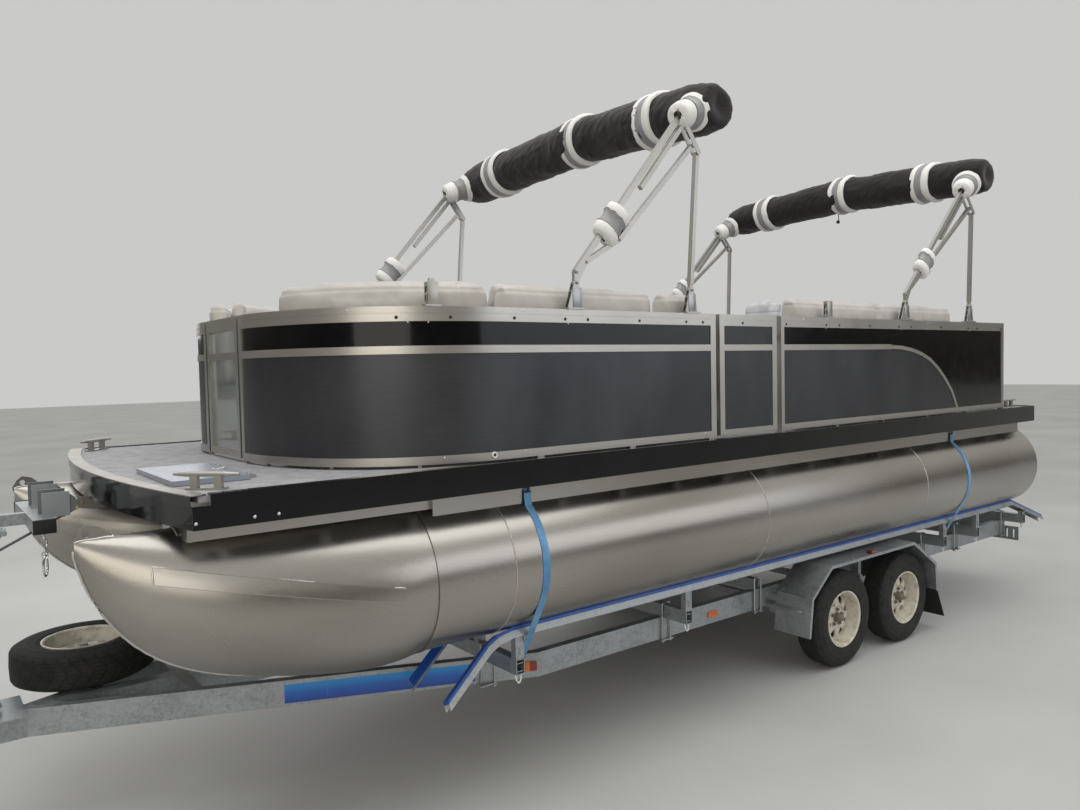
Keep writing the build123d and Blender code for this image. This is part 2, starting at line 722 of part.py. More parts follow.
def hatch_hinge():
    fixed, moving = [], []
    x, z = hatch_pin_x, deck_top + 14
    half = 13 - knuckle_gap
    for y in (hatch_y[0] + 90, hatch_y[1] - 90):
        for y0, y1 in ((y - 40, y - 13), (y + 13, y + 40)):
            fixed.append(rod((x, y0, z), (x, y1, z), 7))
            fixed.append(block(x - 23, x, y0, y1, deck_top, deck_top + 12))
        fixed.append(rod((x, y - 40, z), (x, y + 40, z), 3))
        moving.append(rod((x, y - half, z), (x, y + half, z), 7))
        moving.append(block(x, x + 27, y - half, y + half, z, z + 7))
    bore = rod((x, hatch_y[0] - 30, z), (x, hatch_y[1] + 30, z), 3 + pin_play)
    return joined(fixed), joined(moving) - bore


def cleat(x, y, turn):
    """mooring cleat: a horn bar on two feet"""
    z = deck_top + 58
    parts = [Pos(0, 0, deck_top + 4) * Box(150, 44, 8),
             Solid.make_cylinder(10, 150, Plane(origin=(-75, 0, z), z_dir=(1, 0, 0)))]
    for s in (-1, 1):
        parts.append(Solid.make_cone(10, 5, 57, Plane(origin=(s * 75, 0, z), z_dir=(s, 0, 0))))
        parts.append(Pos(s * 48, 0, deck_top + 28) * Box(30, 20, 50))
    return Pos(X(x), y, 0) * Rot(0, 0, turn) * joined(parts)


def deck_fittings():
    """four cleats and the fixed halves of the hatch's hinges"""
    bow, stern = deck_front - 106, deck_rear + 210
    parts = [cleat(bow, 1090, 135), cleat(bow, -1090, 45), cleat(stern, 1120, 0), cleat(stern, -1120, 0)]
    parts.append(hatch_hinge()[0])
    return joined(parts)


def stern_box():
    return block(deck_rear + 50, deck_rear + 280, 560, 900, deck_top, deck_top + 170)


def motor_pod():
    """centre transom that an outboard engine clamps to, with its mounting holes"""
    foot, top = tube_z + 28, beam_foot
    x = deck_rear - 60
    walls = prism_y([(x + 1000, top), (x + 650, foot + 120), (x + 200, foot), (x, foot), (x, top)], -260, 260)
    hole = prism_y([(x + 980, top - 6), (x + 650, foot + 128), (x + 200, foot + 8), (x + 6, foot + 8),
                    (x + 6, top - 6)], -254, 254)
    body = walls - hole + block(x - 60, x, -240, 240, foot, foot + 450)
    for y in (-163.5, 163.5):
        for z in (foot + 200, foot + 370):
            body = body - rod((x - 100, y, z), (x + 20, y, z), 6.5)
    return body


def place(which, name):
    """point of a bimini in X and Z"""
    x, up = TOPS[which][name]
    return x, fence_top + up


def shifted(p, dx, dz):
    return p[0] + dx, p[1] + dz


def across(p, y, half):
    return (p[0], y - half, p[1]), (p[0], y + half, p[1])


def bimini_frame(which):
    """folded arms of the top: long pair, short arm, link and knuckle plates, both sides"""
    hinge, head, elbow = place(which, "hinge"), place(which, "head"), place(which, "elbow")
    boot = place(which, "boot")
    link = shifted(hinge, -1, 53)
    low = shifted(hinge, -66, 105)
    cap = shifted(head, 31, 27)
    run = Vector(head[0] - link[0], 0, head[1] - link[1]).normalized()
    second = (head[0] - 28, head[1] - 34)
    third = shifted(elbow, 39, 32)
    bars = [(link, head, 25, 28),
            (shifted(second, -run.X * 515, -run.Z * 515), second, 25, 25),
            (hinge, link, 18, 24), (hinge, low, 18, 22)]
    if which == "front":
        bend = shifted(low, -224, 124)
        bars += [(low, bend, 25, 25), (bend, third, 25, 25)]
    else:
        bars.append((low, third, 25, 25))
    halves = []
    for s in (1, -1):
        y = s * strut_y
        for p, q, w, h in bars:
            halves.append(bar((p[0], y, p[1]), (q[0], y, q[1]), w, h))
        halves.append(rod(*across(hinge, y, 9), 15))
        for p in (head, second, third, link, low):
            halves.append(rod(*across(p, y, 22 if p in (head, second, third) else 12.5), 9))
        for d in (-19.5, 19.5):
            halves.append(bar((cap[0], y + d, cap[1]), (elbow[0], y + d, elbow[1]), 5, 30))
            halves.append(rod(*across(elbow, y + d, 2.5), 15))
        # knuckle that carries the boot
        halves.append(rod((head[0], y, head[1]), (boot[0], s * (strut_y - 70), boot[1]), 22))
    out = joined(halves)
    for s in (1, -1):
        out = out - rod(*across(hinge, s * strut_y, 30), 5 + pin_play)
    return out


def boot_half(which, s):
    """one side of the fabric roll: straight and a little lower at its end, which is a short cone"""
    x, z = place(which, "boot")
    drop = boot_rise * (boot_end - boot_cone) / boot_end
    mid, near = (x, 0, z + boot_rise), (x, s * (boot_end - boot_cone), z + boot_rise - drop)
    a, b = vec(mid), vec(near)
    along = (b - a).normalized()
    past = a - along * 60
    roll = Solid.make_cylinder(boot_r, (b - past).length, Plane(origin=past, z_dir=along))
    end = Solid.make_cone(boot_r, boot_r - 32, boot_cone, Plane(origin=b, z_dir=along))
    half = block(x - 300, x + 300, 0, s * 2000, z - 400, z + 400)
    return (roll + end) & half


def bimini_boot(which):
    roll = boot_half(which, 1) + boot_half(which, -1)
    head, boot = place(which, "head"), place(which, "boot")
    for s in (1, -1):
        p, q = vec((head[0], s * strut_y, head[1])), vec((boot[0], s * (strut_y - 70), boot[1]))
        along = (q - p).normalized()
        roll = roll - Solid.make_cylinder(22 + seat_gap, (q - p).length + seat_gap, Plane(origin=p, z_dir=along))
    return roll


def bimini_props(which):
    """the two props, from their feet up between the knuckle plates"""
    foot, elbow = place(which, "foot"), place(which, "elbow")
    parts = []
    for s in (1, -1):
        y = s * strut_y
        run = Vector(elbow[0] - foot[0], 0, elbow[1] - foot[1]).normalized()
        parts.append(bar((foot[0] + run.X * 30, y, foot[1] + run.Z * 30), (elbow[0], y, elbow[1]), 26, 26)
                     + bar((foot[0], y, foot[1]), (foot[0] + run.X * 34, y, foot[1] + run.Z * 34), 18, 24)
                     + rod(*across(foot, y, 9), 14) - rod(*across(foot, y, 30), 5 + pin_play))
    return loose(parts)


# feet on the rail: place, how far they reach back and forward, how high the cheeks stand
FEET = [("front", "hinge", 35, 67), ("front", "foot", 54, 59), ("rear", "hinge", 54, 81), ("rear", "foot", 55, 61)]


def bimini_brackets():
    """feet on the rails that carry the frames and the props, and two small spare feet"""
    parts = []
    for which, name, back, ahead in FEET:
        x, z = place(which, name)
        for s in (1, -1):
            y = s * strut_y
            parts.append(block(x - back, x + ahead, y - 30, y + 30, fence_top, fence_top + 8))
            for d in (-11.5, 11.5):
                cheek = prism_y([(x - back + 8, fence_top + 7), (x + ahead - 8, fence_top + 7), (x + 16, z + 3),
                                 (x + 9, z + 13), (x - 9, z + 13), (x - 16, z + 3)], y + d - 2, y + d + 2)
                parts.append(cheek)
            parts.append(rod(*across((x, z), y, 13.5), 5))
    for x, top in ((3030, 122), (134, 108)):
        for s in (1, -1):
            y = s * strut_y if x < bend_start else s * foot_on_curve(x)
            parts.append(block(x - 40, x + 40, y - 17, y + 17, fence_top, fence_top + 8))
            parts.append(prism_y([(x - 30, fence_top + 7), (x + 30, fence_top + 7), (x + 14, fence_top + top),
                                  (x - 14, fence_top + top)], y - 4, y + 4))
    return loose(joined(parts).solids())


def foot_on_curve(x):
    """y of the fence line at x"""
    pts = offset_points(0.0, 0.0, 1.0, 60)
    return min(pts, key=lambda p: abs(p[0] - x))[1]


def chassis():
    """side rails bent in to the drawbar, crossmembers on top of them, spring hangers"""
    y_in = rail_out - rail_thick
    side = block(rail_rear, rail_bend, y_in, rail_out, rail_foot, rail_top)
    near = draw_half - 8
    apex = rail_bend + (y_in - near) / arm_slope
    arm = prism_z([(rail_bend, rail_out), (rail_bend, y_in), (apex, near), (apex + 118, near)], rail_foot, rail_top)
    solids = [both(side), both(arm)]
    solids.append(block(draw_rear, coupling_nose - 270, -draw_half, draw_half, rail_foot, rail_top))
    for x, half in ((draw_rear - 10, 540), (draw_rear + 550, 290)):
        solids.append(block(x - 30, x + 30, -half, half, rail_foot + 20, rail_top))
    for x in CROSS:
        half = cross_half if abs(x) > 1000 else rail_out
        beam = block(x - cross_w / 2, x + cross_w / 2, -half, half, rail_top, cross_top)
        pocket = block(x - cross_w / 2 + wall, x + cross_w / 2 - wall, half - 60, half + 1, rail_top + wall,
                       cross_top - wall)
        solids.append(beam - pocket - mirrored(pocket))
    # spring hangers
    for x, half in ((345, 30), (-axle_gap / 2, 55), (-axle_gap - 345, 30)):
        solids.append(both(block(x - half, x + half, y_in, rail_out, spring_top + seat_gap, rail_foot + 5)))
    # rear crossmember and the slotted lamp plates
    solids.append(block(rail_rear, rail_rear + 50, -y_in, y_in, rail_foot + 20, rail_top))
    plate = block(rail_rear - 6, rail_rear, rail_out - 130, rail_out + 120, rail_foot - 51, rail_foot + 69)
    for y in (rail_out + 25, rail_out + 80):
        plate = plate - block(rail_rear - 7, rail_rear + 1, y - 6, y + 6, rail_foot - 30, rail_foot + 45)
    solids.append(both(plate))
    # carrier of the spare wheel: a bracket beside the drawbar, stud and nut
    x, y = SPARE
    solids.append(block(x - 25, x + 25, y - 58, -draw_half + 1, rail_top - 50, rail_top))
    nut = rail_top + seat_gap + tyre_w / 2 + 22 + seat_gap
    solids.append(rod((x, y, rail_top - 1), (x, y, nut + 30), spindle_r))
    solids.append(rod((x, y, nut), (x, y, nut + 12), 30))
    return joined(solids)


def clevis_tube():
    """outer tube of the jockey wheel and its clamp, fixed to the drawbar's port side"""
    x, y = jockey_x, jockey_y
    tube = rod((x, y, 400), (x, y, 830), 27) - rod((x, y, 395), (x, y, 805), 24.06)
    clamp = block(x - 45, x + 45, draw_half, y - 20, rail_foot + 14, rail_top - 11) - rod((x, y, 300), (x, y, 900), 26)
    cap = rod((x, y, 825), (x, y, 860), 14)
    crank = rod((x, y, 852), (x - 95, y, 852), 6) + rod((x - 95, y, 846), (x - 95, y, 920), 11)
    return joined([tube, clamp, cap, crank])


ball_x = coupling_nose - 55
ball_z = 470.0


def coupling():
    x, foot = coupling_nose, rail_foot + 20
    body = prism_y([(x - 400, foot), (x - 400, rail_top + 3), (x - 180, rail_top + 3), (x - 100, rail_top - 6),
                    (x - 10, ball_z + 50), (x, ball_z + 10), (x - 10, ball_z - 30), (x - 270, ball_z - 30),
                    (x - 270, foot)], -46, 46)
    around = draw_half + seat_gap
    body = body - block(x - 500, x - 270 + seat_gap, -around, around, rail_foot - 50, rail_top + seat_gap)
    cup = Pos(X(ball_x), 0, ball_z) * Sphere(25.4)
    body = body - cup - rod((ball_x, 0, ball_z - 70), (ball_x, 0, ball_z), 25.4)
    return body + block(x - 200, x - 80, -8, 8, rail_top - 6, rail_top + 34)


winch_x = winch_post_x - 45
drum_z = 1200.0


def winch_stand():
    """post on the drawbar, arm back to the bow, crossbar for the bow stops, winch drum"""
    x, top = winch_post_x, winch_top
    bar_x = x - 290
    parts = [block(x, x + 75, -draw_half, draw_half, rail_top, top),
             block(bar_x, x + 40, -25, 25, top - 50, top),
             block(bar_x - bar_half_x, bar_x + bar_half_x, -400, 300, top - 55, top),
             block(x - 210, x + 180, -150, 150, rail_top, rail_top + 8),
             bar((x - 110, 0, rail_top + 22), (x + 20, 0, drum_z - 200), 40, 40)]
    cheek = [(x - 65, drum_z - 80), (x, drum_z - 80), (x, drum_z + 100), (x - 65, drum_z + 70)]
    parts += [prism_y(cheek, -70, -64), prism_y(cheek, 64, 70)]
    parts.append(block(x - 6, x + 1, -70, 70, drum_z - 80, drum_z + 100))
    parts.append(rod((winch_x, -70, drum_z), (winch_x, 70, drum_z), 32))
    parts.append(rod((winch_x, 70, drum_z), (winch_x, 110, drum_z), 9))
    parts.append(bar((winch_x, 108, drum_z), (winch_x - 115, 108, drum_z + 190), 8, 20))
    parts.append(rod((winch_x - 109, 104, drum_z + 180), (winch_x - 109, 185, drum_z + 180), 12))
    return joined(parts)


def bow_stop():
    """rubber rollers that the bow beam rests against, and their plates on the crossbar"""
    parts = []
    x, z = winch_post_x - 380, winch_top + 50
    for y in (-170, 170):
        parts.append(rod((x, y - 60, z), (x, y + 60, z), 44))
        for d in (-68, 60):
            parts.append(block(x - 15, x + 90, y + d, y + d + 8, winch_top + seat_gap, z + 55))
    return joined(parts)


def on_bunk(u, d):
    """Y and Z beside the tube, d under its skin and u along the skid, port inner and outer side"""
    r = tube_r + seat_gap + d
    return r * bunk_sin + u * bunk_cos, -r * bunk_cos + u * bunk_sin


def bunk_run(section):
    """section of points (u, d) drawn out along the bunk line, on the four bunks"""
    out = []
    for i in range(len(BUNK_LINE) - 1):
        (x0, z0), (x1, z1) = BUNK_LINE[i], BUNK_LINE[i + 1]
        for e in (1, -1):
            pts = []
            for u, d in section:
                y, z = on_bunk(u, d)
                pts.append((X(x0), tube_y + e * y, tube_z + z + z0))
            wire = Polyline(*pts, close=True)
            out.append(Solid.extrude(Face(Wire(wire.edges())), Vector(x1 - x0, 0, z1 - z0)))
    return out


def bunks():
    """galvanised channels on posts, two under each pontoon"""
    d0, d1 = skid_thick, skid_thick + channel_h
    h = bunk_half
    section = [(-h, d0), (h, d0), (h, d1), (h - wall, d1), (h - wall, d0 + wall), (wall - h, d0 + wall),
               (wall - h, d1), (-h, d1)]
    runs = bunk_run(section)
    parts = []
    for e in (0, 1):
        parts.append(joined(runs[e::2]))
    # posts end inside the channel, 3 mm up into its tilted web
    y, z = on_bunk(0, skid_thick + wall)
    turn = BUNK_LINE[1][0]
    for x in CROSS:
        if abs(x) < 1000:
            continue
        drop = tail_drop * min(0.0, x - 25 - turn) / (turn - bunk_tail)
        top = tube_z + z - 18 * bunk_sin / bunk_cos + 3 + drop
        for e in (1, -1):
            mid = tube_y + e * y
            parts.append(block(x - 25, x + 25, mid - 18, mid + 18, cross_top, top))
    return both(joined(parts))


def bunk_skids():
    h = bunk_half
    runs = bunk_run([(-h, 0), (h, 0), (h, skid_thick), (-h, skid_thick)])
    skids = [joined(runs[e::2]) for e in (0, 1)]
    return loose(skids + [mirrored(s) for s in skids])


def mudguards():
    """tandem guards on three arms each, with a tread plate in front"""
    shell = prism_y(thickened(GUARD, guard_sheet), guard_in, guard_out)
    lip = prism_y(thickened(GUARD, guard_lip), guard_out - 3, guard_out)
    front, rear = GUARD[0], GUARD[-1]
    under = wheel_r + 400
    tread = wheel_r + 147
    parts = [shell, lip,
             block(400, 443, rail_out, 1100, rail_foot + 39, rail_foot + 79),
             block(-400, -370, rail_out, 1100, rail_foot + 49, rail_foot + 89),
             block(-400, -370, 1050, 1090, rail_foot + 49, under),
             block(-1113, -1080, rail_out, 1100, rail_foot + 24, rail_foot + 59),
             block(446, 500, rail_out, 1195, tread - 6, tread),
             rod((473, 1195, tread - 6), (473, 1195, tread), 27),
             block(497, 500, rail_out, 1195, tread - 20, tread)]
    return both(joined(parts))


def mudflaps():
    """rubber flaps that hang from the rear feet of the guards"""
    x, z = GUARD[-1]
    g = seat_gap
    flap = prism_y([(x + 5.4, z + 62), (x - g, z), (x - 105, z - 218), (x - 110, z - 218), (x - 5 - g, z),
                    (x + 0.4, z + 62)], guard_in + 5, guard_out - 6)
    return loose([flap, mirrored(flap)])


def axle_set():
    """square axles, spindles and leaf springs with their clamps"""
    parts = []
    y_spring = rail_out - rail_thick / 2
    for k in range(2):
        x = -axle_gap * k
        parts.append(block(x - axle_half, x + axle_half, -990, 990, wheel_r - axle_half, wheel_r + axle_half))
        parts.append(both(rod((x, 980, wheel_r), (x, wheel_y + 66, wheel_r), spindle_r)))
        parts.append(both(rod((x, 985, wheel_r), (x, 1022, wheel_r), 60)))
        for s in (1, -1):
            y = s * y_spring
            for i, half in enumerate((360, 250, 160)):
                end = spring_top - 6 * i
                arc = [(x - half, end), (x - half * 0.5, end - 23 - i), (x, end - 26 - i),
                       (x + half * 0.5, end - 23 - i), (x + half, end)]
                parts.append(prism_y(arc + [(px, pz - 7) for px, pz in reversed(arc)], y - 22, y + 22))
            parts.append(block(x - 40, x + 40, y - 30, y + 30, wheel_r - 40, wheel_r + 34))
    return joined(parts)


def wheel_rim():
    """steel disc wheel with a hub, at the origin"""
    b, f, bore = bead_r, flange_r, spindle_r + pin_play
    profile = [(b, -86), (f, -86), (f, -80), (b, -80), (b, -60), (160, -40), (160, 20), (b, 60), (b, 80), (f, 80),
               (f, 86), (b, 86), (172, 78), (172, 62), (154, 24), (154, 6), (120, 26), (80, 34), (72, 22), (bore, 22),
               (bore, -72), (52, -72), (52, 6), (90, 10), (120, 10), (150, -6), (154, -42), (172, -62), (172, -80)]
    body = revolved(profile)
    for i in range(8):
        tri = extrude(Plane.XY * Polygon((0, -20), (0, 20), (-34, 0), align=None), amount=120)
        body = body - Rot(-90, 0, 0) * Rot(0, 0, 45 * i) * Pos(147, 0, -30) * tri
    return body


def tyre():
    h, r = tyre_w / 2, wheel_r
    b, f = bead_r + seat_gap, flange_r + seat_gap
    return revolved([(b, -62), (b, -80 + seat_gap), (f, -80 + seat_gap), (205, 4 - h), (250, -h), (290, 8 - h),
                     (r - 8, 20 - h), (r - 3, 30 - h), (r, 0), (r - 3, h - 30), (r - 8, h - 20), (290, h - 8), (250, h),
                     (205, h - 4), (f, 80 - seat_gap), (b, 80 - seat_gap), (b, 62), (196, 50), (240, 60), (290, 50),
                     (296, 0), (290, -50), (240, -60), (196, -50)])


def place_wheel(shape, k, s):
    turned = shape if s > 0 else Rot(0, 0, 180) * shape
    return Pos(X(-axle_gap * k), s * wheel_y, wheel_r) * turned


def place_spare(shape):
    x, y = SPARE
    return Pos(X(x), y, rail_top + tyre_w / 2 + seat_gap) * Rot(90, 0, 0) * shape


# jockey wheel: its radius, how far it trails behind the leg
jockey_r = 100.0
trail = 40.0


def jockey_leg():
    x, y = jockey_x, jockey_y
    return rod((x, y, 232), (x, y, 620), 24) - rod((x, y, 230), (x, y, 420), 11.05)


def jockey_fork():
    x, y = jockey_x, jockey_y
    back = x - trail
    cheek = block(back - 22, back + 22, y - 42, y - 36, jockey_r - 15, 225)
    return joined([rod((x, y, 225), (x, y, 410), 11), block(back - 20, x + 22, y - 42, y + 42, 222, 231.5),
                   cheek, Pos(0, 78, 0) * cheek, rod((back, y - 42, jockey_r), (back, y + 42, jockey_r), 9)])


def jockey_wheel():
    bore = 9 + pin_play
    profile = [(bore, -35), (22, -35), (22, -12), (60, -12), (64, -33), (90, -33), (98, -22), (jockey_r, 0),
               (98, 22), (90, 33), (64, 33), (60, 12), (22, 12), (22, 35), (bore, 35)]
    return Pos(X(jockey_x - trail), jockey_y, jockey_r) * revolved(profile)


def lamps():
    """side markers and reflectors on the trailer's frame, clearance lamps on the guards"""
    x0, x1 = rail_bend + 15, rail_bend + 70
    y0, y1 = rail_out - 15 * arm_slope, rail_out - 70 * arm_slope
    marker = prism_z([(x0, y0), (x1, y1), (x1, y1 + 13), (x0, y0 + 13)], rail_foot + 37, rail_foot + 83)
    reflector = block(965, 1050, rail_out, rail_out + 6, rail_foot + 39, rail_foot + 74)
    top = GUARD[2][1] + 3.2
    lamp = block(-312, -252, guard_out - 45, guard_out - 8, top, top + 22)
    out = [marker, reflector, lamp]
    return loose(out + [mirrored(s) for s in out])


strap_w = 40.0


def straps():
    """flat webbing down the outside of each pontoon to the rear faces of two crossmembers"""
    out = []
    high, low = 52.0, -28.4
    for beam in (CROSS[0], CROSS[3]):
        x = beam - cross_w / 2 - seat_gap - strap_w
        def at(r, a):
            return (X(x), tube_y + r * cos(radians(a)), tube_z + r * sin(radians(a)))
        y_up = tube_y + riser_half + 0.4
        lines = []
        for r, dy in ((tube_r + 0.4, 0.0), (tube_r + 2.8, 2.4)):
            lines.append(((X(x), y_up + dy, beam_foot - 8), at(r, high), at(r, (high + low) / 2), at(r, low),
                          (X(x), 1060 + dy, cross_top - 66)))
        a, b = lines
        edges = [Line(a[0], a[1]), ThreePointArc(a[1], a[2], a[3]), Line(a[3], a[4]), Line(a[4], b[4]),
                 Line(b[4], b[3]), ThreePointArc(b[3], b[2], b[1]), Line(b[1], b[0]), Line(b[0], a[0])]
        wire = Wire.combine([e.edge() for e in edges])[0]
        s = Solid.extrude(Face(wire), Vector(strap_w, 0, 0))
        out += [s, mirrored(s)]
    return loose(out)


lower, upper = all_panels()

write("pontoon_port", pontoon())
write("pontoon_starboard", mirrored(pontoon()))
write("deck", deck())
write("deck_frame", deck_frame())
write("bow_trim", bow_trim())
write("skirts", skirts())
write("hatch_lid", hatch_lid() + hatch_hinge()[1])
write("deck_fittings", deck_fittings())
write("stern_box", stern_box())
write("motor_pod", motor_pod())
write("fence_port", fence_port())
write("fence_starboard", fence_starboard())
write("fence_stern", fence_stern())
write("panels_lower", lower)
write("panels_upper", upper)
write("side_gate", side_gate())
write("side_gate_lower", gate_panel(bottom_rail_top, mid_rail_foot))
write("side_gate_upper", gate_panel(mid_rail_top, top_rail_foot))
write("bow_gate", bow_gate())
write("bow_gate_glass", bow_gate_glass())
write("stern_gate", stern_gate_frame())
write("stern_gate_panel", stern_gate_panel())
write("seat_bases", seat_bases())
write("seat_cushions", seat_cushions())
write("helm_console", helm_console())
write("steering_wheel", steering_wheel())
write("helm_seat", helm_seat())
for which in TOPS:
    write(f"bimini_{which}_frame", bimini_frame(which))
    write(f"bimini_{which}_boot", bimini_boot(which))
    write(f"bimini_{which}_props", bimini_props(which))
write("bimini_brackets", bimini_brackets())
write("chassis", chassis() + clevis_tube())
write("coupling", coupling())
write("winch_stand", winch_stand())
write("bow_stop", bow_stop())
write("bunks", bunks())
write("bunk_skids", bunk_skids())
write("mudguards", mudguards())
write("mudflaps", mudflaps())
write("axles", axle_set())
rim, rubber = wheel_rim(), tyre()
for s, side in ((1, "port"), (-1, "starboard")):
    for k, which in enumerate(("front", "rear")):
        write(f"rim_{which}_{side}", place_wheel(rim, k, s))
        write(f"tyre_{which}_{side}", place_wheel(rubber, k, s))
write("rim_spare", place_spare(rim))
write("tyre_spare", place_spare(rubber))
write("jockey_leg", jockey_leg())
write("jockey_fork", jockey_fork())
write("jockey_wheel", jockey_wheel())
write("lamps", lamps())
write("straps", straps())
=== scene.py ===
# %% [markdown]
# A pontoon boat on its tandem trailer. The shapes that carry load come from the
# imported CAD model. This file gives them their finishes and adds what is soft,
# small or sewn. Everything is in metres, +X to the bow, +Y to port, +Z up.

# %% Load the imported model
import bpy
import bmesh
import json
from math import cos, exp, pi, radians, sin, sqrt
from mathutils import Matrix, Vector, noise
from mathutils.bvhtree import BVHTree


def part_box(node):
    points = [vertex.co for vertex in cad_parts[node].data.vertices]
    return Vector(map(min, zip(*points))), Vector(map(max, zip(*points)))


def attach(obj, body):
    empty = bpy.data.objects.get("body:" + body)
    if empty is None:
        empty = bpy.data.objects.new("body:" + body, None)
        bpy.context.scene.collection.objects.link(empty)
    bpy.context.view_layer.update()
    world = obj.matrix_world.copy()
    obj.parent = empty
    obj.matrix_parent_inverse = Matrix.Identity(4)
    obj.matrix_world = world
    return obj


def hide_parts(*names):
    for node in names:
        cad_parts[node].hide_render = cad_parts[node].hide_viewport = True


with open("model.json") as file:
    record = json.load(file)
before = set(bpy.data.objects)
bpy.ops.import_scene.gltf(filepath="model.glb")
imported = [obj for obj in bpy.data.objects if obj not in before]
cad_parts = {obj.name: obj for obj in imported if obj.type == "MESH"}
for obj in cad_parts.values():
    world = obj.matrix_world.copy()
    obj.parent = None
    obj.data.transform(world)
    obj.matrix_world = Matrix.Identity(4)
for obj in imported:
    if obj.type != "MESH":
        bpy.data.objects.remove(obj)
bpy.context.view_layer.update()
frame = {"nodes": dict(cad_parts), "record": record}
nodes = frame["nodes"]
slot_of = {part["node"]: part["material_slot"] for part in frame["record"]["subparts"]}

# %% [markdown]
# The camera was found by fitting the lengths of the fence, the tubes and the
# wheels to their places in the picture. Its heading, tilt and roll make three
# axes, and an object matrix built from them places the camera without any
# rotation order to think about.

# %% Camera
heading = radians(37.62)
tilt = radians(2.67)
roll = radians(1.225)
picture_width = 1080
focal_pixels = 831.1
sensor = 36.0
far_enough = 200.0
eye = Vector((3.612, 4.302, 2.0335))

look = Vector((-sin(heading) * cos(tilt), -cos(heading) * cos(tilt), -sin(tilt)))
level = Vector((-cos(heading), sin(heading), 0.0))
down = look.cross(level)
right = level * cos(roll) + down * sin(roll)
below = down * cos(roll) - level * sin(roll)
camera_data = bpy.data.cameras.new("camera")
camera_data.sensor_fit = "HORIZONTAL"
camera_data.sensor_width = sensor
camera_data.lens = focal_pixels / picture_width * sensor
camera_data.clip_end = far_enough
camera = bpy.data.objects.new("camera", camera_data)
bpy.context.scene.collection.objects.link(camera)
turn = Matrix((right, -below, -look)).transposed().to_4x4()
camera.matrix_world = Matrix.Translation(eye) @ turn
bpy.context.scene.camera = camera
print("lens", round(camera_data.lens, 2), "mm")

# %% [markdown]
# Colours are written as the hex codes a paint chart would give. A screen code
# isn't a measure of light, so one function turns it into the linear values
# that shaders add up. Setting a socket to the code's own numbers would come out
# too pale.

# %% Colour from a code
def colour(code):
    parts = [int(code[i:i + 2], 16) / 255 for i in (0, 2, 4)]
    return tuple(c / 12.92 if c <= 0.04045 else ((c + 0.055) / 1.055) ** 2.4 for c in parts) + (1.0,)


print("middle grey in linear light", round(colour("808080")[0], 3))

# %% [markdown]
# A material is a tree of nodes. Adding a node, setting its inputs and wiring
# them takes many lines, so add() does all three in one call: an input that is
# given a socket is wired to it, and one that is given a value is set to it.
# material() makes the tree with its main shader.

# %% Nodes and materials
def add(tree, kind, inputs=None, **settings):
    node = tree.nodes.new("ShaderNode" + kind)
    for key, value in settings.items():
        setattr(node, key, value)
    for key, value in (inputs or {}).items():
        if isinstance(value, bpy.types.NodeSocket):
            tree.links.new(value, node.inputs[key])
        else:
            node.inputs[key].default_value = value
    return node


def material(name, base, rough, metal=0.0, **sockets):
    made = bpy.data.materials.new(name)
    made.use_nodes = True
    shader = made.node_tree.nodes["Principled BSDF"]
    shader.inputs["Base Color"].default_value = colour(base)
    shader.inputs["Roughness"].default_value = rough
    shader.inputs["Metallic"].default_value = metal
    for key, value in sockets.items():
        shader.inputs[key.replace("_", " ")].default_value = value
    return made, made.node_tree, shader


# %% [markdown]
# The finishes below are built from a few kinds of pattern. Each reads Object
# coordinates, which are metres on the real boat, so a pattern size is a real
# size. place() can stretch them along one axis, cloud() is soft noise and
# cells() is a net of grains. spread() maps one range of values to another.

# %% Patterns
def place(tree, sx=1.0, sy=1.0, sz=1.0):
    where = add(tree, "TexCoord").outputs["Object"]
    return add(tree, "Mapping", {"Vector": where, "Scale": (sx, sy, sz)}).outputs["Vector"]


def cloud(tree, where, size, detail=3.0, rough=0.55):
    inputs = {"Vector": where, "Scale": 1.0 / size, "Detail": detail, "Roughness": rough}
    return add(tree, "TexNoise", inputs).outputs["Fac"]


def cells(tree, where, size, out="Distance"):
    return add(tree, "TexVoronoi", {"Vector": where, "Scale": 1.0 / size}).outputs[out]


def spread(tree, value, low, high, first, last):
    inputs = {"Value": value, "From Min": low, "From Max": high, "To Min": first, "To Max": last}
    return add(tree, "MapRange", inputs).outputs["Result"]


def sum_of(tree, a, b, operation="ADD"):
    return add(tree, "Math", {0: a, 1: b}, operation=operation).outputs[0]


def mix_of(tree, a, share_a, b, share_b):
    return sum_of(tree, sum_of(tree, a, share_a, "MULTIPLY"), sum_of(tree, b, share_b, "MULTIPLY"))


# %% [markdown]
# A pattern becomes a finish in three ways. tint() gives the colour its stops,
# rough_by() makes the shine uneven, and relief() turns the pattern into small
# heights, in metres. Uneven shine does most of the work on metal and paint.

# %% Colour, shine and relief from a pattern
def tint(tree, shader, value, stops, socket="Base Color"):
    ramp = add(tree, "ValToRGB", {"Fac": value})
    while len(ramp.color_ramp.elements) < len(stops):
        ramp.color_ramp.elements.new(0.5)
    for element, (at_value, code) in zip(ramp.color_ramp.elements, stops):
        element.position = at_value
        element.color = colour(code)
    tree.links.new(ramp.outputs["Color"], shader.inputs[socket])


def rough_by(tree, shader, value, low, high, first, last):
    tree.links.new(spread(tree, value, low, high, first, last), shader.inputs["Roughness"])


def relief(tree, shader, height, depth, strength=1.0):
    bump = add(tree, "Bump", {"Height": height, "Distance": depth, "Strength": strength})
    tree.links.new(bump.outputs["Normal"], shader.inputs["Normal"])


# %% [markdown]
# The tubes are bare rolled sheet. It shows long soft waves, faint rolling lines
# along its length and dull water stains. A photograph of sheet would repeat and
# would need unwrapping, so noise stretched along the boat does this instead.

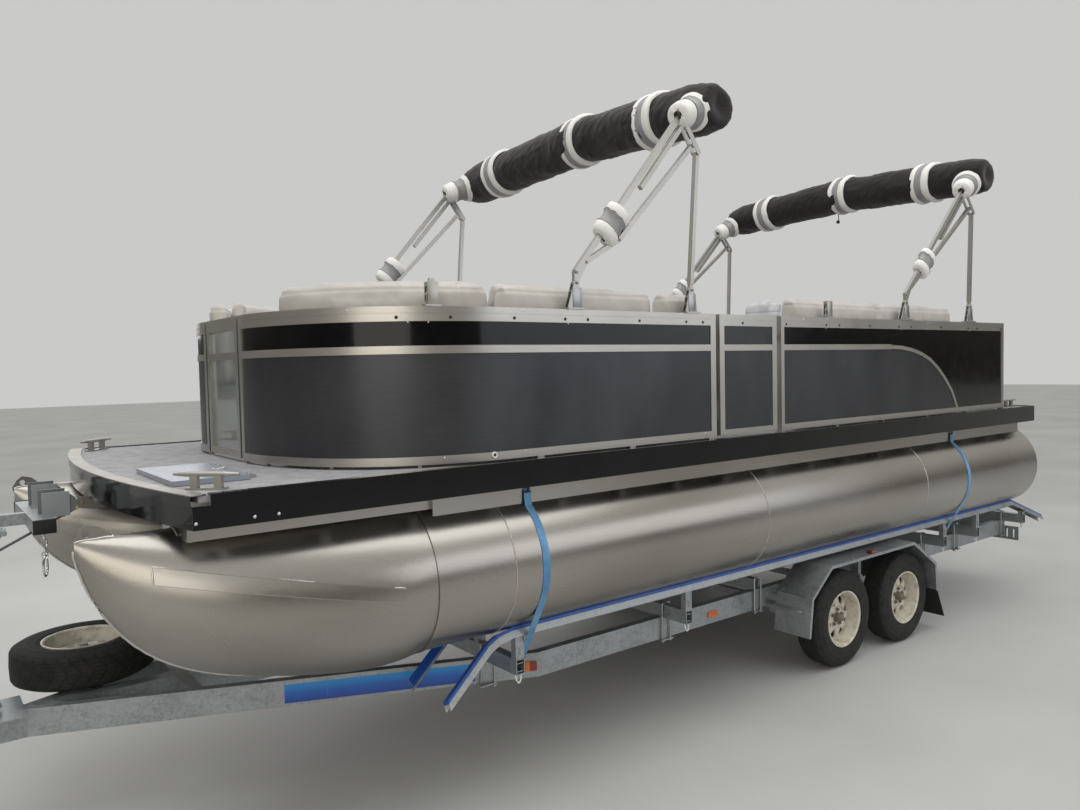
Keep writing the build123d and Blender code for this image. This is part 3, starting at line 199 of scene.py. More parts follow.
# %% Bare aluminium
def mill_aluminium():
    made, tree, shader = material("aluminium_mill_sheet", "A5A19A", 0.28, 1.0)
    lines = cloud(tree, place(tree, 0.04, 1.0, 1.0), 0.006, 2.0)
    stains = cloud(tree, place(tree, 0.35, 1.0, 1.0), 0.45, 2.0, 0.4)
    mixed = mix_of(tree, stains, 0.9, lines, 0.1)
    tint(tree, shader, mixed, [(0.3, "96928A"), (0.5, "A4A099"), (0.7, "AEABA5")])
    rough_by(tree, shader, mixed, 0.3, 0.7, 0.24, 0.32)
    relief(tree, shader, cloud(tree, place(tree, 0.3, 1.0, 1.0), 0.8, 0.0), 0.004, 0.35)
    return made


def satin_aluminium(name, base, rough):
    made, tree, shader = material(name, base, rough, 1.0)
    grain = cloud(tree, place(tree), 0.0015, 2.0)
    haze = cloud(tree, place(tree), 0.3, 3.0)
    rough_by(tree, shader, sum_of(tree, grain, haze), 0.6, 1.4, rough - 0.07, rough + 0.09)
    relief(tree, shader, grain, 0.00006, 0.6)
    return made


# %% [markdown]
# The trailer is dipped in zinc, which sets in spangles about 12 mm wide. The
# colours of a Voronoi pattern have just that look of crystals side by side, and
# a soft dull cloud over them is the age of the coat.

# %% Hot-dip zinc
def zinc():
    made, tree, shader = material("steel_hot_dip_zinc", "A3A8AA", 0.45, 0.82)
    spangle = add(tree, "TexVoronoi", {"Vector": place(tree), "Scale": 1 / 0.012}).outputs["Color"]
    grey = add(tree, "RGBToBW", {"Color": spangle}).outputs["Val"]
    dull = cloud(tree, place(tree), 0.16, 5.0, 0.65)
    mixed = mix_of(tree, grey, 0.3, dull, 0.7)
    tint(tree, shader, mixed, [(0.32, "8F9496"), (0.5, "A3A8AA"), (0.7, "B2B7B8")])
    rough_by(tree, shader, mixed, 0.3, 0.7, 0.36, 0.58)
    relief(tree, shader, cloud(tree, place(tree), 0.008, 3.0), 0.0002, 0.5)
    return made


# %% [markdown]
# The upper fence band and the skirts are gloss black with a trace of orange
# peel, the lower panels a satin metallic charcoal. Black paint has almost no
# colour of its own, so its faint dust and its clear coat are what show.

# %% Paints
def gloss_black(dust=0.06):
    made, tree, shader = material("paint_gloss_black", "08080A", 0.1, 0.0, Coat_Weight=0.15,
                                  Coat_Roughness=0.05, Specular_IOR_Level=0.28)
    film = cloud(tree, place(tree), 0.12, 6.0, 0.7)
    tint(tree, shader, film, [(0.35, "040405"), (0.75, "0C0C0E")])
    rough_by(tree, shader, film, 0.3, 0.75, 0.07, 0.07 + dust * 2)
    relief(tree, shader, cloud(tree, place(tree), 0.009, 1.0), 0.00005, 0.5)
    return made


def charcoal():
    made, tree, shader = material("paint_satin_charcoal", "47484B", 0.36, 0.72)
    brush = cloud(tree, place(tree, 0.02, 0.02, 1.0), 0.002, 2.0)
    haze = cloud(tree, place(tree, 1.0, 1.0, 0.5), 0.45, 3.0)
    mixed = mix_of(tree, brush, 0.35, haze, 0.65)
    tint(tree, shader, mixed, [(0.3, "3B3C3F"), (0.7, "545558")])
    rough_by(tree, shader, mixed, 0.3, 0.7, 0.3, 0.42)
    return made


# %% [markdown]
# The deck is covered with mottled woven vinyl, and the seats are sewn from
# smooth vinyl with a leather grain. Both are one noise for the colour and one
# fine pattern for the surface. Grain from real bumps would cost millions of
# faces and never be seen.

# %% Vinyl for the deck and the seats
def deck_vinyl():
    made, tree, shader = material("vinyl_mottled_grey", "9A9A9C", 0.8)
    speck = cloud(tree, place(tree), 0.006, 3.0, 0.7)
    patch = cloud(tree, place(tree), 0.07, 3.0)
    mixed = mix_of(tree, speck, 0.6, patch, 0.4)
    tint(tree, shader, mixed, [(0.34, "828285"), (0.5, "9B9B9D"), (0.66, "B2B2B3")])
    weave = add(tree, "TexWave", {"Vector": place(tree), "Scale": 180.0, "Distortion": 2.0}).outputs["Fac"]
    relief(tree, shader, weave, 0.0005, 0.5)
    return made


def seat_vinyl(name="vinyl_seat_grey", low="B1ADA6", high="BEBAB4"):
    made, tree, shader = material(name, high, 0.44, 0.0, Specular_IOR_Level=0.4)
    grain = cells(tree, place(tree), 0.0016)
    soil = cloud(tree, place(tree), 0.14, 4.0, 0.6)
    tint(tree, shader, soil, [(0.3, low), (0.62, high)])
    rough_by(tree, shader, soil, 0.3, 0.7, 0.52, 0.4)
    relief(tree, shader, grain, 0.0002, 0.55)
    return made


# %% [markdown]
# Canvas and strap webbing are woven. Two crossed waves, one thread apart, give
# the weave, and a little sheen gives the soft edge that cloth has against the
# light. Mouldings, rubber, foam and tape are one recipe with other numbers.

# %% Cloth and plastics
def cloth(name, low, high, pitch=0.0012, rough=0.85, depth=0.0003):
    made, tree, shader = material(name, high, rough, 0.0, Sheen_Weight=0.25, Sheen_Roughness=0.4)
    across = add(tree, "TexWave", {"Vector": place(tree), "Scale": 0.314 / pitch}, bands_direction="Y")
    along = add(tree, "TexWave", {"Vector": place(tree), "Scale": 0.314 / pitch}, bands_direction="DIAGONAL")
    threads = sum_of(tree, across.outputs["Fac"], along.outputs["Fac"])
    fade = cloud(tree, place(tree), 0.12, 4.0, 0.6)
    tint(tree, shader, fade, [(0.3, low), (0.7, high)])
    relief(tree, shader, threads, depth, 0.6)
    return made


def plastic(name, base, rough, grain=0.0012, depth=0.0001):
    made, tree, shader = material(name, base, rough)
    fine = cloud(tree, place(tree), grain, 2.0)
    soil = cloud(tree, place(tree), 0.09, 4.0, 0.6)
    rough_by(tree, shader, soil, 0.3, 0.7, rough - 0.06, rough + 0.1)
    relief(tree, shader, fine, depth, 0.5)
    return made


# %% [markdown]
# The bow gate holds a clear sheet, slightly scuffed. The wheels are sprayed
# cream, with road grime that gathers in blotches and takes the shine away.

# %% Clear sheet and rim paint
def clear_sheet():
    made, tree, shader = material("acrylic_clear", "DCE2E2", 0.06, 0.0, Transmission_Weight=0.9, IOR=1.49)
    rough_by(tree, shader, cloud(tree, place(tree), 0.15, 4.0, 0.6), 0.35, 0.7, 0.03, 0.14)
    return made


def rim_paint():
    made, tree, shader = material("paint_cream_rim", "CFCABB", 0.34, 0.0, Coat_Weight=0.25)
    grime = cloud(tree, place(tree), 0.05, 5.0, 0.6)
    tint(tree, shader, grime, [(0.3, "A39A88"), (0.46, "C8C2B2"), (0.7, "D6D1C3")])
    rough_by(tree, shader, grime, 0.3, 0.6, 0.6, 0.3)
    return made


# %% [markdown]
# Tread. Cutting blocks into five tyres would be heavy, and an image would need
# unwrapping. The pattern here is worked out from the angle round the axle and
# the place across the tyre: grooves 19 mm apart and 36 leaning blocks to the
# turn. It only shows near the outer radius, and the walls get fine rings.
# The three rates count half a groove or half a block to the metre or radian.

# %% Tyre rubber
groove_rate = 105.0
block_rate = 11.5
lean_rate = 26.0
tread_starts, tread_full = 0.303, 0.309
print("blocks to the turn", round(block_rate * pi), "grooves apart", round(2000 / groove_rate), "mm")


def tyre_rubber(name, centre, axis):
    made, tree, shader = material(name, "1B1B1C", 0.78)
    where = add(tree, "TexCoord").outputs["Object"]
    local = add(tree, "VectorMath", {0: where, 1: centre}, operation="SUBTRACT").outputs["Vector"]
    parts = add(tree, "SeparateXYZ", {"Vector": local}).outputs
    wide, one, two = [parts[letter] for letter in ("ZXY" if axis == "Z" else "YXZ")]
    around = sum_of(tree, two, one, "ARCTAN2")
    square = sum_of(tree, sum_of(tree, one, one, "MULTIPLY"), sum_of(tree, two, two, "MULTIPLY"))
    radius = sum_of(tree, square, 0.5, "POWER")
    across = sum_of(tree, wide, 0.0, "ABSOLUTE")
    groove = sum_of(tree, sum_of(tree, across, groove_rate, "MULTIPLY"), 1.0, "PINGPONG")
    groove = spread(tree, groove, 0.12, 0.3, 0.0, 1.0)
    lean = mix_of(tree, around, block_rate, across, lean_rate)
    block = spread(tree, sum_of(tree, lean, 1.0, "PINGPONG"), 0.1, 0.26, 0.0, 1.0)
    tread = sum_of(tree, groove, block, "MINIMUM")
    outside = spread(tree, radius, tread_starts, tread_full, 0.0, 1.0)
    rings = sum_of(tree, sum_of(tree, radius, 60.0, "MULTIPLY"), 1.0, "PINGPONG")
    rings = spread(tree, rings, 0.1, 0.2, 0.7, 1.0)
    height = add(tree, "Mix", {"Factor": outside, "A": rings, "B": tread}, data_type="FLOAT").outputs[0]
    relief(tree, shader, height, 0.006)
    dust = cloud(tree, where, 0.05, 5.0, 0.65)
    tint(tree, shader, dust, [(0.35, "121213"), (0.75, "2C2B29")])
    return made


# %% [markdown]
# Some CAD nodes carry two finishes at once. They aren't cut up for that: a
# shader can read how high or how far along a point lies, and change there. The
# bow trim is bare aluminium on its top lip and gloss black on its face.

# %% Bow trim in two finishes
edge_blur = 0.0005


def split_trim(limit):
    made, tree, shader = material("aluminium_trim_black_face", "8F8C86", 0.34)
    up = add(tree, "SeparateXYZ", {"Vector": place(tree)}).outputs["Z"]
    lip = spread(tree, up, limit - edge_blur, limit + edge_blur, 0.0, 1.0)
    tint(tree, shader, lip, [(0.4, "060607"), (0.6, "A19D96")])
    tree.links.new(lip, shader.inputs["Metallic"])
    haze = cloud(tree, place(tree), 0.2, 4.0)
    rough_by(tree, shader, sum_of(tree, lip, haze), 0.4, 1.5, 0.08, 0.42)
    return made


# %% [markdown]
# The lamp lenses are one node from bow to stern: red at the very back, amber on
# the frame, red on the guards and amber towards the bow. A colour ramp along the
# boat with sharp steps gives each its own colour, and waves give the ribs.

# %% Lamp lenses
def lamp_lens():
    made, tree, shader = material("lens_acrylic", "8E1710", 0.16, 0.0, Coat_Weight=0.5)
    where = add(tree, "SeparateXYZ", {"Vector": place(tree)}).outputs["X"]
    part = spread(tree, where, -2.0, 2.0, 0.0, 1.0)
    tint(tree, shader, part, [(0.0, "6E1A12"), (0.36, "D8601A"), (0.6, "8E1710"), (0.779, "D8701A")])
    shader.inputs["Base Color"].links[0].from_node.color_ramp.interpolation = "CONSTANT"
    ribs = add(tree, "TexWave", {"Vector": place(tree), "Scale": 60.0}).outputs["Fac"]
    relief(tree, shader, ribs, 0.0006, 0.6)
    return made


# %% [markdown]
# The film on the front rails is one plain blue. Its colour is painted dark below and light above, as painted
# shade and light.
# The bow stop has black rollers between galvanised plates, and the plates are
# told apart by their distance from the middle of each roller.

# %% Film and rollers
film_low, film_high = 0.455, 0.545
roller_y, half_roller = 0.170, 0.060


def film_painted_light():
    made, tree, shader = material("film_blue_painted_light", "1B62B8", 0.3, 0.0, Coat_Weight=0.3)
    up = add(tree, "SeparateXYZ", {"Vector": place(tree)}).outputs["Z"]
    share = spread(tree, up, film_low, film_high, 0.0, 1.0)
    # painted shade at the foot of the band and painted light at its top, graded by height
    tint(tree, shader, share, [(0.0, "17409C"), (0.5, "1A62BE"), (0.95, "1F93DC")])
    relief(tree, shader, cloud(tree, place(tree), 0.03, 2.0), 0.0003, 0.5)
    return made


def roller_rubber():
    made, tree, shader = material("rubber_roller_zinc_plates", "151515", 0.6)
    y = sum_of(tree, add(tree, "SeparateXYZ", {"Vector": place(tree)}).outputs["Y"], 0.0, "ABSOLUTE")
    away = sum_of(tree, sum_of(tree, y, roller_y, "SUBTRACT"), 0.0, "ABSOLUTE")
    plate = spread(tree, away, half_roller - 0.0002, half_roller + 0.0002, 0.0, 1.0)
    tint(tree, shader, plate, [(0.4, "161616"), (0.6, "9DA2A4")])
    tree.links.new(spread(tree, plate, 0.0, 1.0, 0.0, 0.8), shader.inputs["Metallic"])
    relief(tree, shader, cloud(tree, place(tree), 0.006, 3.0), 0.0003, 0.5)
    return made


# %% [markdown]
# Every CAD node takes the finish of its slot in the record, so there is one
# finish for each slot. Making them here once, and sharing them, keeps the parts
# of one metal alike.

# %% One finish for each slot
finish = {
    "tube_aluminium": mill_aluminium(),
    "frame_aluminium": satin_aluminium("aluminium_extruded", "B3B1AB", 0.36),
    "rail_aluminium": satin_aluminium("aluminium_anodised", "BBB9B2", 0.32),
    "deck_vinyl": deck_vinyl(),
    "gloss_black": gloss_black(),
    "charcoal": charcoal(),
    "clear_sheet": clear_sheet(),
    "seat_shell": plastic("plastic_seat_shell", "8C8A86", 0.5),
    "seat_vinyl": seat_vinyl(),
    "console_plastic": plastic("gelcoat_grey", "A9A8A4", 0.28, 0.004),
    "dark_plastic": plastic("plastic_dark", "1C1C1D", 0.48),
    "black_canvas": cloth("canvas_black", "100E0C", "221E1A"),
    "galvanised": zinc(),
    "blue_skid": plastic("plastic_blue_skid", "1C4FA0", 0.36, 0.01),
    "rim_steel": rim_paint(),
    "black_rubber": plastic("rubber_black", "151515", 0.7, 0.002, 0.0002),
    "lamp_lens": lamp_lens(),
    "strap_webbing": cloth("webbing_blue", "3F78A6", "6FA3CC", 0.0018, 0.7, 0.0005),
}
print("finishes for slots", len(finish))

# %% [markdown]
# The small parts that this file adds need a few finishes of their own: weld
# metal is brighter than the sheet, brake drums rust, and foam is matt white.

# %% Finishes for the added parts
hatch_shell = plastic("gelcoat_hatch", "8E959F", 0.3, 0.004)
weld_metal = satin_aluminium("aluminium_weld", "C6C5C0", 0.42)
drum_rust = plastic("steel_drum_rusted", "2E2521", 0.8, 0.004, 0.0008)
foam_white = plastic("foam_white", "E4E3DF", 0.75, 0.003, 0.0006)
tape_grey = plastic("tape_grey", "8C8C8C", 0.32, 0.01, 0.0005)
chrome = satin_aluminium("steel_chrome", "DADAD8", 0.12)
brass = satin_aluminium("steel_zinc_yellow", "C9A45C", 0.28)
bolt_steel = satin_aluminium("steel_bolt", "A9ABAC", 0.32)
blue_band_painted_light = film_painted_light()
white_plastic = plastic("plastic_white", "E6E6E2", 0.35)
rust_grey = plastic("steel_hub_cap", "6E665C", 0.5, 0.006, 0.0006)
chair_vinyl = seat_vinyl("vinyl_seat_pale", "ACACAE", "CFD0D2")
print("materials", len(bpy.data.materials))

# %% [markdown]
# Now the nodes get them. Each tyre has its own copy of the rubber, because its
# tread turns about its own axle, whose place is the middle of the tyre's box.

# %% Give the nodes their finishes
lip_height = 0.004


def wheel_centre(name):
    low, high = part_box(name)
    return tuple((a + b) / 2 for a, b in zip(low, high))


def paint(obj, made):
    obj.data.materials.clear()
    obj.data.materials.append(made)


for name, obj in nodes.items():
    slot = slot_of[name]
    if slot == "tyre":
        axis = "Z" if name == "tyre_spare" else "Y"
        paint(obj, tyre_rubber("rubber_" + name, wheel_centre(name), axis))
    else:
        paint(obj, finish[slot])
paint(nodes["bow_trim"], split_trim(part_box("bow_trim")[1][2] - lip_height))
paint(nodes["hatch_lid"], hatch_shell)
paint(nodes["bow_stop"], roller_rubber())
print("nodes with a finish", sum(1 for obj in nodes.values() if obj.data.materials[0]))

# %% [markdown]
# The added parts are measured as the boat was, in millimetres from the front
# axle on the floor. at() turns such a place into the scene's metres, so that
# every number below can be checked on the real thing with a tape. SIDES names
# the two sides once, because most small parts come in pairs.

# %% Places on the boat
axle_x = 1.275
SIDES = ((1, "port"), (-1, "starboard"))
ALONG, ABEAM, UP = Vector((1, 0, 0)), Vector((0, 1, 0)), Vector((0, 0, 1))


def at(x, y, z):
    return Vector((x / 1000 - axle_x, y / 1000, z / 1000))


print("front axle at", at(0, 0, 0), "winch post near", at(4675, 0, 1200))

# %% [markdown]
# A piece is one bmesh that several helpers add to, closed by piece(). It merges
# doubles and turns all faces outwards, and then marks as soft the edges where
# two faces meet at less than an angle.

# %% From a bmesh to a piece
merge_within = 0.00002


def piece(name, bm, body, made, edge=35):
    """a mesh object from bm, soft where faces meet at less than edge degrees"""
    bmesh.ops.remove_doubles(bm, verts=bm.verts, dist=merge_within)
    bmesh.ops.recalc_face_normals(bm, faces=bm.faces)
    for face in bm.faces:
        face.smooth = True
    for line in bm.edges:
        line.smooth = len(line.link_faces) == 2 and line.calc_face_angle(0.0) < radians(edge)
    mesh = bpy.data.meshes.new(name)
    bm.to_mesh(mesh)
    bm.free()
    obj = bpy.data.objects.new(name, mesh)
    obj.data.materials.append(made)
    bpy.context.scene.collection.objects.link(obj)
    if body:
        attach(obj, body)
    return obj


# %% [markdown]
# Most small parts are bars, turned parts or blocks. skin() extrudes a ring of
# edges from ring to ring and closes the ends, which makes any bar or cushion.
# lathe() spins half an outline, as a lathe does, and brick() is a cube with its
# edges bevelled, because no real edge is quite sharp.

# %% Shapes by extruding, spinning and bevelling
def axes_along(direction):
    """the direction itself and two more, square to it and to each other"""
    d = direction.normalized()
    side = d.cross(UP if abs(d.z) < 0.9 else ALONG).normalized()
    return d, side, d.cross(side)


def skin(bm, rings, closed=True, caps=True):
    """loft: the first ring of points is extruded from ring to ring"""
    n = len(rings[0])
    row = [bm.verts.new(p) for p in rings[0]]
    lines = [bm.edges.new((row[i], row[(i + 1) % n])) for i in range(n if closed else n - 1)]
    if caps:
        bmesh.ops.contextual_create(bm, geom=lines)
    for ring in rings[1:]:
        grown = bmesh.ops.extrude_edge_only(bm, edges=lines)["geom"]
        fresh = {g for g in grown if isinstance(g, bmesh.types.BMVert)}
        row = [next(e.other_vert(v) for e in v.link_edges if e.other_vert(v) in fresh) for v in row]
        lines = [bm.edges.get((row[i], row[(i + 1) % n])) for i in range(n if closed else n - 1)]
        for v, p in zip(row, ring):
            v.co = p
    if caps:
        bmesh.ops.contextual_create(bm, geom=lines)


def brick(bm, low, high, bevel=0.0015):
    """box between two corners with rounded edges"""
    made = bmesh.ops.create_cube(bm, size=1.0)["verts"]
    mid, size = (low + high) / 2, high - low
    for v in made:
        v.co = mid + Vector((v.co.x * size.x, v.co.y * size.y, v.co.z * size.z))
    lines = list({e for v in made for e in v.link_edges})
    bmesh.ops.bevel(bm, geom=lines, offset=bevel, offset_type="OFFSET", segments=2, profile=0.5,
                    affect="EDGES", material=-1)


def lathe(bm, base, direction, profile, steps=24):
    """turned shape from (distance along, radius) pairs"""
    d, side, up = axes_along(direction)
    line = [(profile[0][0], 0.0)] + list(profile) + [(profile[-1][0], 0.0)]
    made = [bm.verts.new(base + d * along + side * radius) for along, radius in line]
    edges = [bm.edges.new(pair) for pair in zip(made, made[1:])]
    bmesh.ops.spin(bm, geom=made + edges, cent=base, axis=d, angle=2 * pi, steps=steps, use_merge=True)


def slab(bm, s, x, y, z, bevel=0.0015):
    """block on side s from three (least, most) pairs; y counts outwards from the middle of the boat"""
    across = sorted((s * y[0], s * y[1]))
    brick(bm, at(x[0], across[0], z[0]), at(x[1], across[1], z[1]), bevel)


def pipe(bm, points, radius, steps=10, flat=None):
    """round or flat bar along points; flat is (half width, half thickness, width direction)"""
    rings = []
    for i, p in enumerate(points):
        ahead = points[min(i + 1, len(points) - 1)] - points[max(i - 1, 0)]
        if flat:
            w = flat[2] - ahead.normalized() * flat[2].dot(ahead.normalized())
            w = w.normalized()
            t = ahead.normalized().cross(w)
            corners = ((1, 1), (-1, 1), (-1, -1), (1, -1))
            rings.append([p + w * a * flat[0] + t * b * flat[1] for a, b in corners])
        else:
            d, side, up = axes_along(ahead)
            rings.append([p + (side * cos(2 * pi * k / steps) + up * sin(2 * pi * k / steps)) * radius
                          for k in range(steps)])
    skin(bm, rings)


# %% [markdown]
# A bolt is a washer with a head on it. The head is six-sided, or domed for
# screws and studs, and both are turned from a few (distance, radius) pairs that
# follow the bolt's size. The washer starts a hair inside the surface, so that
# no light shows under it.

# %% Bolts and screws
sunk = 0.0003


def bolt(bm, base, direction, size=0.008, washer=True, dome=False):
    """bolt or dome head with its washer seated on base"""
    d = direction.normalized()
    if washer:
        disc = [(0, size * 1.25), (size * 0.22, size * 1.25), (size * 0.28, size * 1.1)]
        lathe(bm, base - d * sunk, d, disc, 16)
    start = size * 0.25 if washer else -sunk
    if dome:
        shape, steps = ((0.0, 1.0), (0.25, 0.94), (0.5, 0.68), (0.62, 0.1)), 14
    else:
        shape, steps = ((0.0, 0.95), (0.75, 0.95), (0.9, 0.7)), 6
    lathe(bm, base, d, [(start + size * a, size * r) for a, r in shape], steps)


# %% [markdown]
# Two more tools. catmull() bends a smooth line through a few given points, for
# hooks and rails. surface_of() makes a search tree of CAD faces, and a ray cast
# into it finds where a part has to sit, so that none floats and none is buried.

# %% Smooth lines and places on the surface
def catmull(points, per=12):
    """smooth line through points"""
    out = []
    for i in range(len(points) - 1):
        a, b = points[max(i - 1, 0)], points[i]
        c, d = points[i + 1], points[min(i + 2, len(points) - 1)]
        for k in range(per):
            t = k / per
            out.append(0.5 * ((2 * b) + (c - a) * t + (2 * a - 5 * b + 4 * c - d) * t * t
                              + (3 * b - a - 3 * c + d) * t ** 3))
    return out + [points[-1]]


def surface_of(*names):
    """search tree over the faces of CAD nodes"""
    verts, faces = [], []
    for name in names:
        mesh = nodes[name].data
        start = len(verts)
        verts += [v.co.copy() for v in mesh.vertices]
        faces += [[start + i for i in p.vertices] for p in mesh.polygons]
    return BVHTree.FromPolygons(verts, faces)


def seat(tree, start, way, reach=0.6):
    """where a ray from start meets the CAD surface, or None"""
    return tree.ray_cast(start, way.normalized(), reach)[0]


def fasten(bm, tree, start, out, size, **kind):
    """a bolt where a ray from start, cast against out, meets the surface; says if there is one"""
    spot = seat(tree, start, -out)
    if spot:
        bolt(bm, spot, out, size, **kind)
    return bool(spot)


# %% [markdown]
# The fence line runs straight along the side and then round the bow corner.
# fence_point() follows it by its real length, so cushions, studs and trims all
# sit at a distance along it and a distance inside it.

# %% Fence line
rail_y = 1190.0
fence_aft, bend_starts = -2331, 2400
corner = ((2400, rail_y), (2650, rail_y), (2900, 1168), (3100, 1105), (3270, 1000), (3400, 860), (3495, 680),
          (3552, 500), (3573, 350), (3573, 260))
bend = [Vector((x, y, 0)) for x, y in corner]
fence_line = [Vector((x, rail_y, 0)) for x in range(fence_aft, bend_starts, 25)] + catmull(bend, 16)
fence_run = [fence_line[0].x]
for a, b in zip(fence_line, fence_line[1:]):
    fence_run.append(fence_run[-1] + (b - a).length)
print("fence side", round((fence_run[-1] - fence_run[0]) / 1000, 2), "m along its line")


def fence_point(s, inside=0.0, z=0.0, side=1):
    """point at length s along the fence line, inside by so many millimetres; s is X on the straight part"""
    i = 1
    while i < len(fence_run) - 1 and fence_run[i] < s:
        i += 1
    t = (s - fence_run[i - 1]) / (fence_run[i] - fence_run[i - 1])
    p = fence_line[i - 1].lerp(fence_line[i], t)
    g = (fence_line[i] - fence_line[i - 1]).normalized()
    q = p + Vector((g.y, -g.x, 0)) * inside
    return at(q.x, side * q.y, z)


def fence_out(s, side=1):
    """direction out of the boat at length s"""
    d = fence_point(s, -100, 0, side) - fence_point(s, 0, 0, side)
    return d.normalized()


# %% [markdown]
# Cushions. Each starts as a closed form: a rounded outline swept along the
# fence, drawn in towards its ends. A plain box would have the right size but
# nothing of foam, and sculpting by hand couldn't be repeated for 23 of them.

# %% The form of a cushion
narrowest = 0.30


def swept_form(bm, path, outline, ends=0.055):
    """outline of (across, up) pairs swept along path, a list of point, across and up, with rounded ends"""
    total = sum((b[0] - a[0]).length for a, b in zip(path, path[1:]))
    mid = Vector((sum(p[0] for p in outline) / len(outline), sum(p[1] for p in outline) / len(outline), 0))
    run, rings = 0.0, []
    for i, (p, out, up) in enumerate(path):
        if i:
            run += (p - path[i - 1][0]).length
        near = min(run, total - run)
        k = 1.0 if near >= ends else sqrt(max(0.0, 1 - (1 - near / ends) ** 2))
        shrink = narrowest + (1 - narrowest) * k
        rings.append([p + out * (mid.x + (a - mid.x) * (0.82 + 0.18 * k) * (shrink if k < 1 else 1))
                      + up * (mid.y + (b - mid.y) * shrink) for a, b in outline])
    skin(bm, rings)


def rounded(w0, w1, h0, h1, r_low, r_high, n=5):
    """outline between w0 and w1, h0 and h1, with its lower and upper corners rounded"""
    out = []
    for (cx, cy, r, start) in ((w1 - r_low, h0 + r_low, r_low, -90), (w1 - r_high, h1 - r_high, r_high, 0),
                               (w0 + r_high, h1 - r_high, r_high, 90), (w0 + r_low, h0 + r_low, r_low, 180)):
        for k in range(n):
            t = radians(start + 90 * k / (n - 1))
            out.append((cx + r * cos(t), cy + r * sin(t)))
    return out


# %% [markdown]
# The form is remeshed to even quads, because cloth stretches evenly only on an
# even mesh. Twenty frames of cloth under pressure then fill it, as foam fills a
# sewn cover, and a cap keeps the swelling to what a tight cover allows. keep
# holds the underside on its seat.

# %% Filling a cushion
frames = 20


def inflate(obj, voxel, cap, keep=None, pressure=4.0):
    scene = bpy.context.scene
    grid = obj.modifiers.new("grid", "REMESH")
    grid.mode = "VOXEL"
    grid.voxel_size = voxel
    graph = bpy.context.evaluated_depsgraph_get()
    even = bpy.data.meshes.new_from_object(obj.evaluated_get(graph))
    obj.modifiers.clear()
    obj.data = even
    rest = [v.co.copy() for v in even.vertices]
    cover = obj.modifiers.new("cover", "CLOTH")
    cover.settings.quality = 4
    cover.settings.mass = 0.3
    cover.settings.tension_stiffness = 15
    cover.settings.compression_stiffness = 15
    cover.settings.use_pressure = True
    cover.settings.uniform_pressure_force = pressure
    cover.settings.effector_weights.gravity = 0.0
    cover.point_cache.frame_start = 1
    cover.point_cache.frame_end = frames
    for frame_number in range(1, frames + 1):
        scene.frame_set(frame_number)
    graph = bpy.context.evaluated_depsgraph_get()
    full = obj.evaluated_get(graph).to_mesh()
    moved = [v.co.copy() for v in full.vertices]
    obj.evaluated_get(graph).to_mesh_clear()
    obj.modifiers.clear()
    scene.frame_set(1)
    for v, a, b in zip(even.vertices, rest, moved):
        step = b - a
        if step.length > cap:
            step = step.normalized() * cap
        v.co = a + step
    if keep:
        for v in even.vertices:
            v.co = keep(v.co)
    even.update()
    return obj


# %% [markdown]
# Seams are pressed in last, because remeshing would lose them. Each seam is a
# distance from its line, a depth and a width, and every point near it moves
# inwards along its own normal. cushion() puts the four steps together and hides
# the CAD node that the piece stands in for.

# %% Seams and the whole cushion
cushions_made = []


def press(obj, lines):
    mesh = obj.data
    normals = [v.normal.copy() for v in mesh.vertices]
    for v, n in zip(mesh.vertices, normals):
        for away, depth, width in lines:
            gap = away(v.co)
            if abs(gap) < width * 3:
                v.co -= n * depth * exp(-(gap / width) ** 2)
    mesh.update()


def finer(obj):
    soft = obj.modifiers.new("finer", "SUBSURF")
    soft.levels = soft.render_levels = 1
    graph = bpy.context.evaluated_depsgraph_get()
    mesh = bpy.data.meshes.new_from_object(obj.evaluated_get(graph))
    obj.modifiers.clear()
    obj.data = mesh
    mesh.shade_smooth()


def cushion(name, path, outline, body, made, node, voxel=0.012, cap=0.016, ends=0.055, seams=(), keep=None):
    bm = bmesh.new()
    swept_form(bm, path, outline, ends)
    obj = piece(name, bm, None, made)
    inflate(obj, voxel, cap, keep)
    finer(obj)
    press(obj, seams)
    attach(obj, body)
    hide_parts(node)
    cushions_made.append(len(obj.data.polygons))
    return obj


# %% [markdown]
# The lounges follow the fence round the bow corner, so their cushions are swept
# along the same line. fence_path() hands a stretch of it to the sweep. A seam
# is given by how far a point is from it: across the cushion, or at one height.
# The bow lounges end where the fence turns in to the gate.

# %% Paths and seams of the lounges
hull = "hull_and_trailer"
vinyl = finish["seat_vinyl"]
gate_post_y = 420
bow_end = max(run for run, p in zip(fence_run, fence_line) if p.y > gate_post_y)
seat_board = 1.9605
print("bow lounges end", round(bow_end), "mm along the fence line")


def fence_path(s0, s1, side, step=40.0):
    n = max(4, int((s1 - s0) / step))
    return [(fence_point(s0 + (s1 - s0) * i / n, 0, 0, side), fence_out(s0 + (s1 - s0) * i / n, side),
             UP) for i in range(n + 1)]


def seam_across(s, side, depth=0.004, width=0.009):
    p = fence_point(s, 0, 0, side)
    ahead = (fence_point(s + 10, 0, 0, side) - p).normalized()
    return (lambda co: (co - p).dot(ahead) if (co - p).length < 0.6 + co.z else 9.0), depth, width


def seam_level(z, depth=0.0035, width=0.008):
    return (lambda co: co.z - z), depth, width


def floor_at(z):
    return lambda co: Vector((co.x, co.y, max(co.z, z)))


# %% [markdown]
# The backs stand 60 mm inside the fence, with a rounded top and a seam just
# below it. Where one back ends and the next begins was read off the photograph,
# and the starboard side follows port. Each row is the piece's name, its start
# and end along the fence, its side, its cross seams and how far its ends round.

